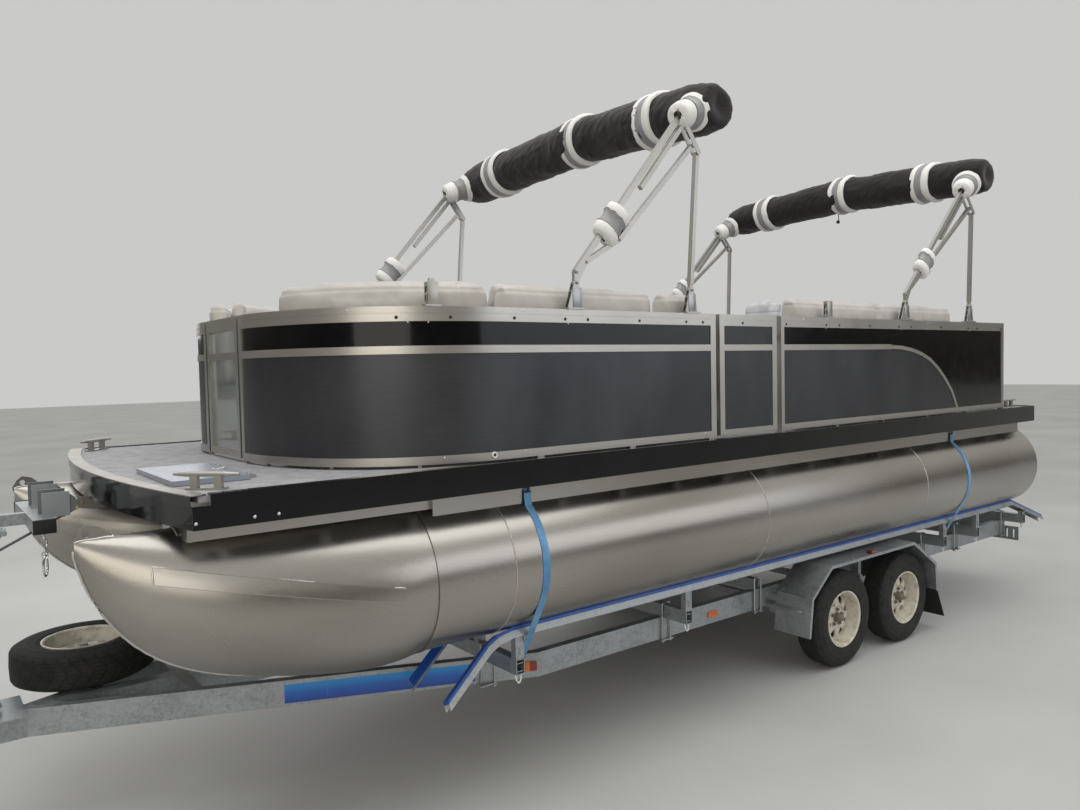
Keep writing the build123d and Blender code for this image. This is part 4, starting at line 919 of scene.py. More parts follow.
# %% Backs
BACKS = [("bow_back_port_1", 1268, 1618, 1, (), 0.055), ("bow_back_port_2", 1626, 2682, 1, (), 0.07),
         ("bow_back_port_3", 2690, bow_end - 60, 1, (2880, 3190), 0.08),
         ("bow_back_starboard_1", 1754, 2682, -1, (2200,), 0.06),
         ("bow_back_starboard_2", 2690, bow_end - 60, -1, (2880, 3190), 0.08),
         ("aft_back_1", -1646, -604, 1, (-1120,), 0.06), ("aft_back_2", -596, 446, 1, (), 0.06)]
for name, s0, s1, side, seams, ends in BACKS:
    outline = rounded(-0.163, -0.062, 1.965, 2.428, 0.03, 0.046)
    lines = [seam_across(s, side) for s in seams] + [seam_level(2.388)]
    cushion(name, fence_path(s0, s1, side), outline, hull, vinyl, "seat_cushions", 0.0145, 0.011, ends,
            lines, floor_at(seat_board))
print("backs", len(cushions_made), "faces", sum(cushions_made))

# %% [markdown]
# In front of the backs lies an inner roll, which the sitter leans on. It starts
# higher and is thinner, with two seams, and it stops short of the back's ends.

# %% Inner rolls
ROLLS = [("bow_roll_port_2", 1760, 2650, 1), ("bow_roll_port_3", 2700, bow_end - 190, 1),
         ("bow_roll_starboard_2", 1800, 2650, -1), ("bow_roll_starboard_3", 2700, bow_end - 190, -1),
         ("aft_roll_1", -1560, -640, 1), ("aft_roll_2", -560, 330, 1)]
for name, s0, s1, side in ROLLS:
    outline = rounded(-0.252, -0.178, 2.065, 2.448, 0.03, 0.036)
    cushion(name, fence_path(s0, s1, side), outline, hull, vinyl, "seat_cushions", 0.0155, 0.010, 0.07,
            [seam_level(2.19), seam_level(2.325)], floor_at(2.062))
print("cushions so far", len(cushions_made))

# %% [markdown]
# The seats are 400 mm deep and lie on plastic boxes. Most of their swelling
# shows at the front edge, so the seam runs just under the top, all the way round.

# %% Seats
SEATS = [("bow_seat_port_1", 1270, 2180, 1), ("bow_seat_port_2", 2188, bow_end - 330, 1),
         ("bow_seat_starboard_1", 1756, 2470, -1), ("bow_seat_starboard_2", 2478, bow_end - 330, -1),
         ("aft_seat_1", -1644, -604, 1), ("aft_seat_2", -596, 444, 1)]
for name, s0, s1, side in SEATS:
    outline = rounded(-0.590, -0.190, 1.9625, 2.042, 0.03, 0.034)
    cushion(name, fence_path(s0, s1, side), outline, hull, vinyl, "seat_cushions", 0.016, 0.012, 0.06,
            [seam_level(2.028, 0.003)], floor_at(seat_board))
print("cushions so far", len(cushions_made), "faces", sum(cushions_made))

# %% [markdown]
# The helm chair turns on its pedestal, so all its pieces ride on the chair's
# body. Its seat and back are cushions like those of the lounges, in a paler
# vinyl, swept from back to front and from below upwards. The back leans a little.

# %% Chair seat and back
chair_x, chair_y = -1260, -560
chair = "helm_chair"


def chair_path(points, up):
    return [(at(chair_x + x, chair_y, z), ABEAM, up) for x, z in points]


lean = Vector((-80, 0, 510)).normalized()
face = Vector((lean.z, 0, -lean.x))
cushion("chair_seat", chair_path([(-230 + 49 * i, 0) for i in range(11)], UP),
        rounded(-0.245, 0.245, 2.0, 2.108, 0.03, 0.045), chair, chair_vinyl, "helm_seat", 0.013, 0.012, 0.06,
        [seam_level(2.085, 0.003)])
cushion("chair_back", chair_path([(-172 - 8 * i, 2105 + 51 * i) for i in range(11)], face),
        rounded(-0.19, 0.19, -0.052, 0.052, 0.04, 0.04), chair, chair_vinyl, "helm_seat", 0.013, 0.012, 0.07,
        [seam_level(2.3, 0.004, 0.009), seam_level(2.48, 0.004, 0.009)])
print("chair cushions", cushions_made[-2:])

# %% [markdown]
# Under them are a swivel plate, its bearing and the seat pan, and a bent bar on
# each side carries a padded armrest. The bar is a smooth line through four
# places with a round section on it.

# %% Chair frame and armrests
def chair_at(x, y, z):
    return at(chair_x + x, chair_y + y, z)


shell = bmesh.new()
brick(shell, chair_at(-110, -110, 1950.5), chair_at(110, 110, 1962), 0.002)
brick(shell, chair_at(-90, -90, 1961), chair_at(90, 90, 1984), 0.004)
brick(shell, chair_at(-236, -240, 1983), chair_at(250, 240, 2004), 0.008)
for s, word in SIDES:
    rows = [chair_at(-175, s * 262, 1992), chair_at(-182, s * 276, 2100), chair_at(-180, s * 284, 2240),
            chair_at(-150, s * 286, 2262)]
    pipe(shell, catmull(rows, 6), 0.012)
    brick(shell, chair_at(-200, s * 240, 1985), chair_at(-150, s * 266, 2000), 0.004)
piece("chair_frame", shell, chair, finish["dark_plastic"])
for s, word in SIDES:
    rest_path = [(chair_at(-200 + 36 * i, s * 286, 0), ABEAM, UP) for i in range(11)]
    cushion("chair_arm_" + word, rest_path, rounded(-0.022, 0.022, 2.256, 2.294, 0.014, 0.016), chair,
            chair_vinyl, "helm_seat", 0.007, 0.004, 0.03, (), None)
print("all cushions", len(cushions_made), "faces", sum(cushions_made))

# %% [markdown]
# The folded tops. A sleeve of black canvas hides the folded bows: two straight
# halves that rise to the middle. TOPS has the place of each sleeve's ends, and
# BANDS where packing foam is taped round it, in metres to port of the middle.

# %% Where the sleeves lie
canvas = finish["black_canvas"]
TOPS = {"front": (1240, 3450), "rear": (-1950, 3455)}
BANDS = {"front": (-0.80, 0.10, 0.79), "rear": (-0.80, 0.02, 0.78)}
half_sleeve, rise, sleeve_r = 1.24, 60, 0.148
gathered, drawn_in = 0.16, 0.030
seam_angle = radians(-28)


def sleeve_centre(which, y):
    x, z = TOPS[which]
    return at(x, y * 1000, z + rise * (1 - abs(y) / half_sleeve))


for which in TOPS:
    print(which, "sleeve rises to", round(sleeve_centre(which, 0).z, 3), "m")

# %% [markdown]
# Wrapped canvas isn't round. It sags between its ties, wrinkles run out from
# where a band pinches it, and a long seam follows its side. Each of these is a
# small change of the radius at one place and one angle. Cloth that is wound as
# tightly as this leaves a simulation little to move, so the folds come from
# layers of noise, coarse to fine.

# %% Radius of a sleeve
def sleeve_radius(y, angle, which):
    r = sleeve_r
    end = half_sleeve - abs(y)
    if end < gathered:
        r -= drawn_in * ((gathered - end) / gathered) ** 1.5
    for band in BANDS[which]:
        r -= 0.010 * exp(-((y - band) / 0.045) ** 2)
    seed = 3.0 if which == "front" else 11.0
    soft = noise.noise(Vector((y * 2.6, cos(angle) * 0.9, sin(angle) * 0.9 + seed)))
    drag = noise.noise(Vector((y * 7.5 + angle * 0.9, cos(angle) * 1.3, sin(angle) * 1.3 - seed)))
    fold = Vector((y * 13.0 - angle * 1.6, cos(angle) * 2.0 + seed, sin(angle) * 2.0))
    crease = 1 - abs(noise.noise(fold)) * 2.2
    r += 0.010 * soft + 0.006 * drag + 0.0045 * max(0.0, crease) ** 2
    fine = noise.noise(Vector((y * 34.0, cos(angle) * 5.0, sin(angle) * 5.0 + seed)))
    r += 0.0016 * fine
    seam = (angle - seam_angle) / 0.035
    return r - 0.006 * exp(-seam * seam)


# %% [markdown]
# The sleeve is a loft of 261 rings, close enough to hold its wrinkles. Each end
# goes on inwards in five smaller rings, pleated as a drawstring pleats cloth.

# %% Canvas sleeves
rings_along, points_round = 260, 84
pleats = 14
END_SHARES = (0.93, 0.8, 0.6, 0.36, 0.12)
END_DEPTHS = (0.008, 0.014, 0.013, 0.004, -0.006)


def sleeve(which):
    bm = bmesh.new()
    rings = []
    for i in range(rings_along + 1):
        y = -1.236 + 2.472 * i / rings_along
        centre = sleeve_centre(which, y)
        rings.append([centre + Vector((cos(a), 0, sin(a) * 0.96)) * sleeve_radius(y, a, which)
                      for a in (2 * pi * k / points_round for k in range(points_round))])
    for side in (0, -1):
        ring = rings[side]
        middle = sum(ring, Vector()) / len(ring)
        way = -1 if side == 0 else 1
        inward = []
        for share, depth in zip(END_SHARES, END_DEPTHS):
            out = Vector((0, depth * way, 0))
            waves = [1 + 0.035 * cos(pleats * j * 2 * pi / points_round) * (1 - share)
                     for j in range(len(ring))]
            inward.append([middle + (p - middle) * share * wave + out for p, wave in zip(ring, waves)])
        rings = inward[::-1] + rings if side == 0 else rings + inward
    skin(bm, rings)
    obj = piece("sleeve_" + which, bm, which + "_top", canvas, 80)
    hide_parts("bimini_" + which + "_boot")
    print(obj.name, "faces", len(obj.data.polygons))


for which in TOPS:
    sleeve(which)

# %% [markdown]
# White packing foam is wrapped round the sleeves, the knuckles and the arms,
# and grey stretch tape pulls each wrap in at its middle. A wrap is a ring with
# an outer and an inner wall, given as (distance along, radius) pairs. Noise
# wobbles its radius and shifts its edges, so that they look torn by hand.

# %% A wrap of foam and its tape
def wrap(name, body, centre, direction, spans, made, seed, squash=1.0, thick=0.006, steps=48):
    d, side, up = axes_along(direction)
    bm = bmesh.new()
    outer, inner = [], []
    for i, (along, radius) in enumerate(spans):
        edge = i in (0, len(spans) - 1)
        rows = ([], [])
        for k in range(steps):
            a = 2 * pi * k / steps
            n = noise.noise(Vector((cos(a) * 1.4, sin(a) * 1.4, seed + along * 9)))
            shift = 0.010 * noise.noise(Vector((cos(a) * 2.2, sin(a) * 2.2, seed + 40 + i))) if edge else 0.0
            r = radius * (1 + 0.05 * n)
            spoke = side * cos(a) * squash + up * sin(a)
            rows[0].append(centre + d * (along + shift) + spoke * r)
            rows[1].append(centre + d * (along + shift) + spoke * (r - thick))
        outer.append(rows[0])
        inner.append(rows[1])
    skin(bm, outer + inner[::-1] + outer[:1], caps=False)
    return piece(name, bm, body, made, 60)


def soft_wrap(name, body, centre, direction, spans, seed, tape, squash=1.0):
    """foam with its band of tape; tape is the (distance, radius) pairs of the band"""
    foam = wrap(name, body, centre, direction, spans, foam_white, seed, squash, 0.012)
    wrap(name + "_tape", body, centre, direction, tape, tape_grey, seed, squash, 0.003)


# %% [markdown]
# Three wraps hold each sleeve. They follow the slope of the sleeve where they
# sit, a little turned, as a wrap that is wound by hand never sits square.

# %% Foam round the sleeves
SLEEVE_FOAM = [(-0.085, 0.154), (-0.072, 0.163), (-0.05, 0.165), (-0.03, 0.158), (-0.02, 0.153),
               (0.02, 0.153), (0.03, 0.158), (0.052, 0.166), (0.072, 0.163), (0.085, 0.155)]
SLEEVE_TAPE = [(-0.03, 0.1605), (-0.02, 0.1555), (0.0, 0.1545), (0.02, 0.1555), (0.03, 0.1605)]
askew = Vector((0.016, 0, 0))
for which in TOPS:
    for i, y in enumerate(BANDS[which]):
        along = (sleeve_centre(which, y + 0.05) - sleeve_centre(which, y - 0.05)) + askew
        soft_wrap("foam_" + which + "_" + str(i), which + "_top", sleeve_centre(which, y), along, SLEEVE_FOAM,
                  5.0 + i, SLEEVE_TAPE)
print("wraps on the sleeves", sum(len(bands) for bands in BANDS.values()))

# %% [markdown]
# The knuckle at each end of a sleeve is wrapped too, with foam that widens
# towards the sleeve and closes in a cap over the knuckle. KNEES has, for each
# top, the knuckle, the sleeve's end and the lower joint of the arm, as X and Z.

# %% Foam over the knuckles
KNEES = {"front": ((1496, 3366), (1240, 3450), (2256, 2488)),
         "rear": ((-1652, 3318), (-1950, 3455), (-814, 2488))}
KNEE_FOAM = [(-0.030, 0.036), (-0.028, 0.058), (-0.018, 0.066), (0.03, 0.076), (0.052, 0.076), (0.062, 0.068),
             (0.115, 0.074), (0.125, 0.086), (0.155, 0.104)]
KNEE_TAPE = [(0.055, 0.080), (0.066, 0.073), (0.09, 0.075), (0.112, 0.079), (0.122, 0.089)]
arm_y, sleeve_end_y = 1190, 1120
for which, (head, boot, link) in KNEES.items():
    for s, word in SIDES:
        start = at(head[0], s * arm_y, head[1])
        along = at(boot[0], s * sleeve_end_y, boot[1]) - start
        soft_wrap("knee_foam_" + which + "_" + word, which + "_top", start, along, KNEE_FOAM, 17.0 + s,
                  KNEE_TAPE)
print("knuckle wraps", 2 * len(KNEES))

# %% [markdown]
# One more wrap is taped round each pair of arms, a third of the way up, where
# they would rub. It goes round two bars side by side, so it is squashed, and it
# hangs a little below the line between the joints.

# %% Foam round the arms
ARM_FOAM = [(-0.100, 0.034), (-0.097, 0.060), (-0.088, 0.074), (-0.045, 0.080), (-0.034, 0.070),
            (0.030, 0.068), (0.040, 0.078), (0.085, 0.076), (0.096, 0.062), (0.099, 0.036)]
ARM_TAPE = [(-0.040, 0.082), (-0.030, 0.073), (0.0, 0.070), (0.026, 0.071), (0.037, 0.081)]
share_up, hang, flattened = 0.30, 0.021, 0.62
for which, (head, boot, link) in KNEES.items():
    for s, word in SIDES:
        low, high = at(link[0], s * arm_y, link[1]), at(head[0], s * arm_y, head[1])
        drop = Vector((high.z - low.z, 0, low.x - high.x)).normalized() * hang
        middle = low.lerp(high, share_up) - drop
        soft_wrap("arm_foam_" + which + "_" + word, which + "_top", middle, high - low, ARM_FOAM, 31.0 + s,
                  ARM_TAPE, flattened)
print("arm wraps", 2 * len(KNEES))

# %% [markdown]
# Screws, nuts and welds are what tell a real boat from a drawing of one. Black
# snap studs run along the fence for the cover. Each is seated by a ray that is
# cast at the fence from outside. Those on the side gate are a piece of their
# own, because they swing with it.

# %% Studs of the cover
fence_skin = {1: surface_of("fence_port", "side_gate", "panels_upper"),
              -1: surface_of("fence_starboard", "panels_upper")}
STUDS = (3190, 2958, 2639, 2338, 2194, 1841, 1488, 1354, 1012, 675, 600, 181, 35, -327, -698, -861, -1292,
         -1715, -1863, -2281)
outside, stud_z = -150, 2257
gate_from, gate_to = 695, 1215
studs, gate_studs = bmesh.new(), bmesh.new()
placed = 0
for side, word in SIDES:
    for s in STUDS:
        target = gate_studs if side > 0 and gate_from < s < gate_to else studs
        placed += fasten(target, fence_skin[side], fence_point(s, outside, stud_z, side), fence_out(s, side),
                         0.0062, dome=True)
piece("fence_studs", studs, hull, finish["dark_plastic"])
piece("side_gate_studs", gate_studs, "side_gate_leaf", finish["dark_plastic"])
print("studs", placed)

# %% [markdown]
# Bright screws hold the rails to their posts, at three heights, and three more
# hold each end of the bow skirt. Those in the rails are sunk and have no washer.

# %% Screws in the rails and the skirt
SCREWS = {2290: (3400, 2590, 1838, 1340, 420, -1100), 2236: (3142, 3055, 2316, 174, -738, -1747),
          1640: (3000, 2590, 1838, 1340, 646, -171, -1067, -1900)}
SKIRT_SCREWS = (4082, 3875, 3785)
skirt_skin = surface_of("skirts")
screws = bmesh.new()
placed = 0
for side, word in SIDES:
    for z, places in SCREWS.items():
        for s in places:
            placed += fasten(screws, fence_skin[side], fence_point(s, outside, z, side), fence_out(s, side),
                             0.0045, washer=False, dome=True)
    for x in SKIRT_SCREWS:
        placed += fasten(screws, skirt_skin, at(x, side * 1400, 1505), ABEAM * side, 0.005, dome=True)
piece("fence_screws", screws, hull, chrome)
print("screws", placed)

# %% [markdown]
# A small round deck light sits low on each side near the bow. It is two turned
# parts, a white ring and a dark lens that stands a little proud of it.

# %% Deck lights
light_at, light_z = 2765, 1637
LIGHT_RING = [(-0.001, 0.015), (0.006, 0.015), (0.009, 0.012), (0.006, 0.0085)]
LIGHT_LENS = [(0.004, 0.008), (0.0075, 0.006), (0.0085, 0.002)]
fitting, glass = bmesh.new(), bmesh.new()
for side, word in SIDES:
    out = fence_out(light_at, side)
    spot = seat(fence_skin[side], fence_point(light_at, outside, light_z, side), -out)
    lathe(fitting, spot, out, LIGHT_RING, 24)
    lathe(glass, spot, out, LIGHT_LENS, 16)
    print("deck light", word, spot)
piece("deck_lights", fitting, hull, white_plastic)
piece("deck_light_lenses", glass, hull, finish["dark_plastic"])

# %% [markdown]
# Weld beads. A bead is a thin round bar whose points lie on the skin and wander
# by a fraction of its radius, as a hand torch does. Its points are drawn on the
# tube with rays, so a bead follows the nose without any formula for its shape.

# %% Drawing a weld bead
wander = 0.35


def bead(bm, points, radius):
    line = []
    for p in points:
        shake = Vector((noise.noise(p * 60), noise.noise(p * 60 + Vector((9, 0, 0))), noise.noise(p * 55)))
        line.append(p + shake * radius * wander)
    pipe(bm, line, radius, 7)


def drawn_on(tree, points, way):
    return [hit for hit in (seat(tree, p, way, 2.5) for p in points) if hit]


def between(a, b, count):
    return [a.lerp(b, i / (count - 1)) for i in range(count)]


# %% [markdown]
# Each tube is rolled in four lengths, joined by three rings of weld that stop
# where the deck's brackets begin. Its nose is two halves welded down the stem
# and back along the keel.

# %% Ring and stem welds
tube_y, tube_z, bead_r = 954.5, 1.102, 0.3476
RING_WELDS = (2725, 901, -926)


def ring_welds(bm, side):
    mid = Vector((0, side * tube_y / 1000, tube_z))
    for x in RING_WELDS:
        angles = [radians(-236 + 292 * k / 99) for k in range(100)]
        bead(bm, [at(x, 0, 0) + mid + Vector((0, cos(a), sin(a))) * bead_r for a in angles], 0.0032)


def stem_weld(bm, tree, side):
    stem = drawn_on(tree, [at(5000, side * tube_y, z) for z in range(778, 1412, 9)], -ALONG)
    under = drawn_on(tree, [at(x, side * tube_y, 500) for x in range(3180, 3640, 12)], UP)
    under = [p for p in under if p.z > stem[0].z - 0.03 and p.x < stem[0].x - 0.006]
    bead(bm, under + stem, 0.006)
    return len(under + stem)


# %% [markdown]
# A riser joins the nose to the deck, and is welded on both sides and across the
# front. The strake along each flank has short runs of weld above, one long fine
# line below and a bead at each end.

# %% Riser and strake welds
TOP_RUNS = ((0.0, 0.05), (0.40, 0.54), (0.86, 1.0))
STRAKE_ENDS = ((3288, 1084, 1140), (4191, 1277, 1335))
strake_starts, strake_length = 3290, 900


def riser_welds(bm, tree, side):
    y = side * tube_y
    for away in (-7, 7):
        line = between(at(4290, y + away, 1700), at(4412, y + away, 1700), 22)
        bead(bm, drawn_on(tree, line, -UP), 0.0045)
    front = drawn_on(tree, between(at(4085, y - 178, 1475), at(4085, y + 178, 1475), 30), -UP)
    bead(bm, [p for p in front if p.z > 1.43], 0.0045)


def strake_line(start, u0, u1, base, rise, count):
    """points beside the tube from share u0 to share u1 of the strake, at base plus rise in millimetres"""
    shares = [u0 + (u1 - u0) * i / (count - 1) for i in range(count)]
    return [at(strake_starts + strake_length * u, start, base + rise * u) for u in shares]


def strake_welds(bm, tree, side):
    for flank in (1, -1):
        way = ABEAM * -flank
        start = side * tube_y + flank * 520
        for u0, u1 in TOP_RUNS:
            bead(bm, drawn_on(tree, strake_line(start, u0, u1, 1140.5, 196, 14), way), 0.0038)
        bead(bm, drawn_on(tree, strake_line(start, 0.0, 1.0, 1082, 192, 70), way), 0.0020)
        for x, z0, z1 in STRAKE_ENDS:
            bead(bm, drawn_on(tree, between(at(x, start, z0), at(x, start, z1), 9), way), 0.0038)


for side, word in SIDES:
    tube_skin = surface_of("pontoon_" + word)
    welds = bmesh.new()
    ring_welds(welds, side)
    points = stem_weld(welds, tube_skin, side)
    riser_welds(welds, tube_skin, side)
    strake_welds(welds, tube_skin, side)
    print("stem weld", word, "drawn through", points, "points, all welds", len(welds.faces), "faces")
    piece("welds_" + word, welds, hull, weld_metal)

# %% [markdown]
# Wheels. A pressed steel rim is one sheet, so half its section is spun about
# the axle. Eight windows let the brake drum show: a ring of wedges, extruded
# from six-sided outlines, is cut out of the rim with one boolean. Modelling
# each window's edge by hand would give the same for far more work.

# %% Rims
RIM = [(178, -86), (186, -86), (186, -80), (178, -80), (178, -60), (160, -40), (160, 20), (178, 60),
       (178, 80), (186, 80), (186, 86), (178, 86), (172, 78), (172, 62), (154, 24), (154, 6), (120, 26),
       (80, 34), (72, 22), (17.1, 22), (17.1, -72), (52, -72), (52, 6), (90, 10), (120, 10), (150, -6),
       (154, -42), (172, -62), (172, -80)]
WINDOW = [(0.079, 0.006), (0.098, 0.017), (0.128, 0.034), (0.137, 0.033), (0.141, 0.022)]
windows = 8


def spun(bm, hub, out, profile, steps):
    """closed profile of (radius, distance along) in millimetres, turned about the axle"""
    side_way = axes_along(out)[1]
    row = [bm.verts.new(hub + out * (a / 1000) + side_way * (r / 1000)) for r, a in profile]
    lines = [bm.edges.new(pair) for pair in zip(row, row[1:] + row[:1])]
    bmesh.ops.spin(bm, geom=row + lines, cent=hub, axis=out, angle=2 * pi, steps=steps, use_merge=True)


def window_wedges(bm, hub, out):
    one, two = axes_along(out)[1:]
    for i in range(windows):
        a = 2 * pi * (i + 0.5) / windows
        ray, across = one * cos(a) + two * sin(a), two * cos(a) - one * sin(a)
        outline = [hub + ray * r + across * w for r, w in WINDOW]
        outline += [hub + ray * r - across * w for r, w in reversed(WINDOW)]
        corners = [bm.verts.new(p - out * 0.03) for p in outline]
        face = bmesh.ops.contextual_create(bm, geom=corners)["faces"]
        grown = bmesh.ops.extrude_face_region(bm, geom=face)["geom"]
        moved = [g for g in grown if isinstance(g, bmesh.types.BMVert)]
        bmesh.ops.translate(bm, verts=moved, vec=out * 0.09)


def dressed_rim(name, node, body, hub, out):
    bm, wedges = bmesh.new(), bmesh.new()
    spun(bm, hub, out, RIM, 72)
    rim = piece(name, bm, body, finish["rim_steel"], 28)
    window_wedges(wedges, hub, out)
    cutter = piece(name + "_cut", wedges, None, finish["rim_steel"])
    cut = rim.modifiers.new("windows", "BOOLEAN")
    cut.operation, cut.object, cut.solver = "DIFFERENCE", cutter, "EXACT"
    graph = bpy.context.evaluated_depsgraph_get()
    mesh = bpy.data.meshes.new_from_object(rim.evaluated_get(graph))
    rim.modifiers.clear()
    rim.data = mesh
    bpy.data.objects.remove(cutter)
    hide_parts(node)
    print(name, "faces", len(mesh.polygons))


axle_gap, wheel_y, axle_z = 770, 1131, 320
WHEELS = [(end + "_" + word, at(-axle_gap * k, s * wheel_y, axle_z), ABEAM * s)
          for k, end in enumerate(("front", "rear")) for s, word in SIDES]
dressed_rim("rim_dressed_spare", "rim_spare", hull, at(4215, -322, 657), UP)
for word, hub, out in WHEELS:
    dressed_rim("rim_dressed_" + word, "rim_" + word, "wheel_" + word, hub, out)

# %% [markdown]
# Behind the windows is a rusty brake drum. Five nuts on their studs, a pressed
# cap over the bearing and a rubber valve finish the front. All of them turn
# with the wheel. The cap's outline runs up outside and back inside, so that it
# is a thin shell, as a pressing is.

# %% Drums, nuts, caps and valves
DRUM = [(60, -64), (126, -64), (145, -56), (145, -12), (120, -2), (92, 2), (60, 2)]
CAP = [(34, 21.5), (34, 26), (27.5, 28), (26.5, 56), (22.5, 64), (14, 71), (0, 73), (0, 70), (13, 68),
       (20, 62), (24, 55), (24.5, 21.5)]
VALVE = [(-0.008, 0.0075), (0.006, 0.0065), (0.012, 0.0042), (0.030, 0.0042), (0.032, 0.0036)]
nuts_round, nut_circle, first_nut = 5, 0.052, 0.4
for word, hub, out in WHEELS:
    drum, nuts, cap, valve = [bmesh.new() for _ in range(4)]
    spun(drum, hub, out, DRUM, 48)
    for i in range(nuts_round):
        a = 2 * pi * i / nuts_round + first_nut
        spot = hub + Vector((cos(a) * nut_circle, 0, sin(a) * nut_circle)) + out * 0.0215
        lathe(nuts, spot, out, [(0, 0.0125), (0.011, 0.0125), (0.014, 0.010)], 6)
        lathe(nuts, spot, out, [(0, 0.006), (0.019, 0.006), (0.020, 0.005)], 10)
    spun(cap, hub, out, CAP, 36)
    lathe(valve, hub + Vector((0.158, 0, 0.02)) + out * 0.03, out + Vector((-0.35, 0, 0)), VALVE, 12)
    body = "wheel_" + word
    piece("brake_drum_" + word, drum, body, drum_rust)
    piece("wheel_nuts_" + word, nuts, body, rust_grey)
    piece("hub_cap_" + word, cap, body, rust_grey)
    piece("valve_" + word, valve, body, finish["black_rubber"])
print("wheels dressed", len(WHEELS))

# %% [markdown]
# The trailer's crossmembers are clamped to its rails. At each crossing two hook
# bolts go over the crossmember's lips and down through a plate, with a nut below.
# Ahead of the bend the rails run together towards the drawbar, so half_frame()
# tells how far out they stand at any X. The one short crossmember, ahead of the
# axles, ends at the rails, so its hooks start farther in. The long ones stand
# out past the rails, and two thin plates close each of their ends.

# %% Hook bolts
CROSSMEMBERS = (2600, 1420, 580, -1500, -2040, -2900)
frame_half, arms_from, arm_slope = 950, 2350, 0.424
half_lip = 31.5
LONG_ONES = [x for x in CROSSMEMBERS if abs(x) > 1000]
fastening = bmesh.new()


def half_frame(x):
    return frame_half if x < arms_from else frame_half - (x - arms_from) * arm_slope


def hook_bolt(bm, s, x, d):
    wide = half_frame(x) + 11 + (0 if x < arms_from else -d * arm_slope)
    first = half_frame(x) + (2 if x in LONG_ONES else -14)
    hook = [at(x + d * 0.3, s * first, 647), at(x + d * 0.95, s * (half_frame(x) + 9), 646),
            at(x + d, s * wide, 636), at(x + d, s * wide, 421)]
    pipe(bm, hook, 0.0055, 10)
    lathe(bm, at(x + d, s * wide, 433), -UP, [(0, 0.0105), (0.009, 0.0105)], 6)


for x in CROSSMEMBERS:
    for s, word in SIDES:
        for d in (-half_lip, half_lip):
            hook_bolt(fastening, s, x, d)
        slab(fastening, s, (x - 46, x + 46), (half_frame(x) - 34, half_frame(x) + 26), (433, 440.5))
        for z in (584, 623) if x in LONG_ONES else ():
            slab(fastening, s, (x - 18, x + 18), (1100, 1137), (z - 5, z), 0.0012)
piece("hook_bolts", fastening, hull, bolt_steel)
print("crossings", 2 * len(CROSSMEMBERS))

# %% [markdown]
# A short loop of white rope hangs from the open end of each long crossmember.
# It is too short to swing, so it is modelled as it hangs, as a smooth line
# through seven places.

# %% Rope loops
LOOP = ((-15, 1118, 568), (-15, 1120, 548), (-9, 1122, 530), (0, 1123, 523), (9, 1122, 530), (15, 1120, 548),
        (15, 1118, 568))
loops = bmesh.new()
for x in LONG_ONES:
    for s, word in SIDES:
        pipe(loops, catmull([at(x + dx, s * y, z) for dx, y, z in LOOP], 4), 0.0042, 8)
rope = piece("rope_loops", loops, hull, white_plastic)
print("rope loops faces", len(rope.data.polygons))

# %% [markdown]
# The bunk posts are bolted through their sides and the mudguards from above. A
# ray that passes a post hits the bunk behind it, farther in, and is left out.

# %% Bolts of the bunks and mudguards
GUARD_BOLTS = ((420, 1040), (420, 1235), (300, 1235), (-700, 1240), (-60, 1240), (-900, 1235))
posts_skin, guard_skin = surface_of("bunks"), surface_of("mudguards")
post_face = 1.15
posts = bmesh.new()
placed = 0
for x in LONG_ONES:
    for s, word in SIDES:
        for z in (668, 690):
            spot = seat(posts_skin, at(x, s * 1300, z), ABEAM * -s)
            if spot and abs(spot.y) < post_face:
                bolt(posts, spot, ABEAM * s, 0.0065)
                placed += 1
for s, word in SIDES:
    for x, y in GUARD_BOLTS:
        placed += fasten(posts, guard_skin, at(x, s * y, 950), UP, 0.006, dome=True)
piece("bunk_bolts", posts, hull, bolt_steel)
print("bunk and guard bolts", placed)

# %% [markdown]
# A plain blue band of film covers the outer face of each front rail. It is one
# face, held a little off the steel, and the Solidify modifier gives it the
# thickness of film. Without that its edge would have nothing to catch the light.

# %% Blue band
band_ends, band_heights = (2655, 3500), (455, 545)
off_the_rail = 0.6
film = bmesh.new()
for s, word in SIDES:
    low, high = [[at(x, s * (half_frame(x) + off_the_rail), z) for x in band_ends] for z in band_heights]
    bmesh.ops.contextual_create(film, geom=[film.verts.new(p) for p in low + high[::-1]])
band = piece("blue_band_painted_light", film, hull, blue_band_painted_light)
thick = band.modifiers.new("film", "SOLIDIFY")
thick.thickness = 0.0008
thick.offset = 0.0
print("band length", band_ends[1] - band_ends[0], "mm")

# %% [markdown]
# The winch strap runs from the drum to the eye on the nose beam. It is flat
# webbing pulled tight, so it is modelled as it lies: most of a turn round the
# drum, a straight run, and two more turns under it.

# %% Winch strap
reel, eye_end = at(4675, 0, 1200), at(4322, 0, 1404)
half_strap = 0.024
strap = bmesh.new()
wound = []
for k in range(20):
    a = radians(35 + 16 * k)
    wound.append(reel + Vector((sin(a), 0, cos(a))) * (0.0335 + 0.0002 * k))
tight = between(wound[-1], eye_end, 14)
pipe(strap, wound + tight[1:], 0.0, flat=(half_strap, 0.0012, ABEAM))
for turn_radius in (0.037, 0.041):
    loop = [reel + Vector((sin(2 * pi * k / 40), 0, cos(2 * pi * k / 40))) * turn_radius for k in range(41)]
    pipe(strap, loop, 0.0, flat=(half_strap, 0.0011, ABEAM))
piece("winch_strap", strap, hull, finish["dark_plastic"])
print("strap free between drum and hook", round((tight[-1] - tight[0]).length, 3), "m")

# %% [markdown]
# Its end is sewn round a bar with a yellow hook on it. The hook is a smooth line
# through seven places with a round section, and two struts spread to the bar.

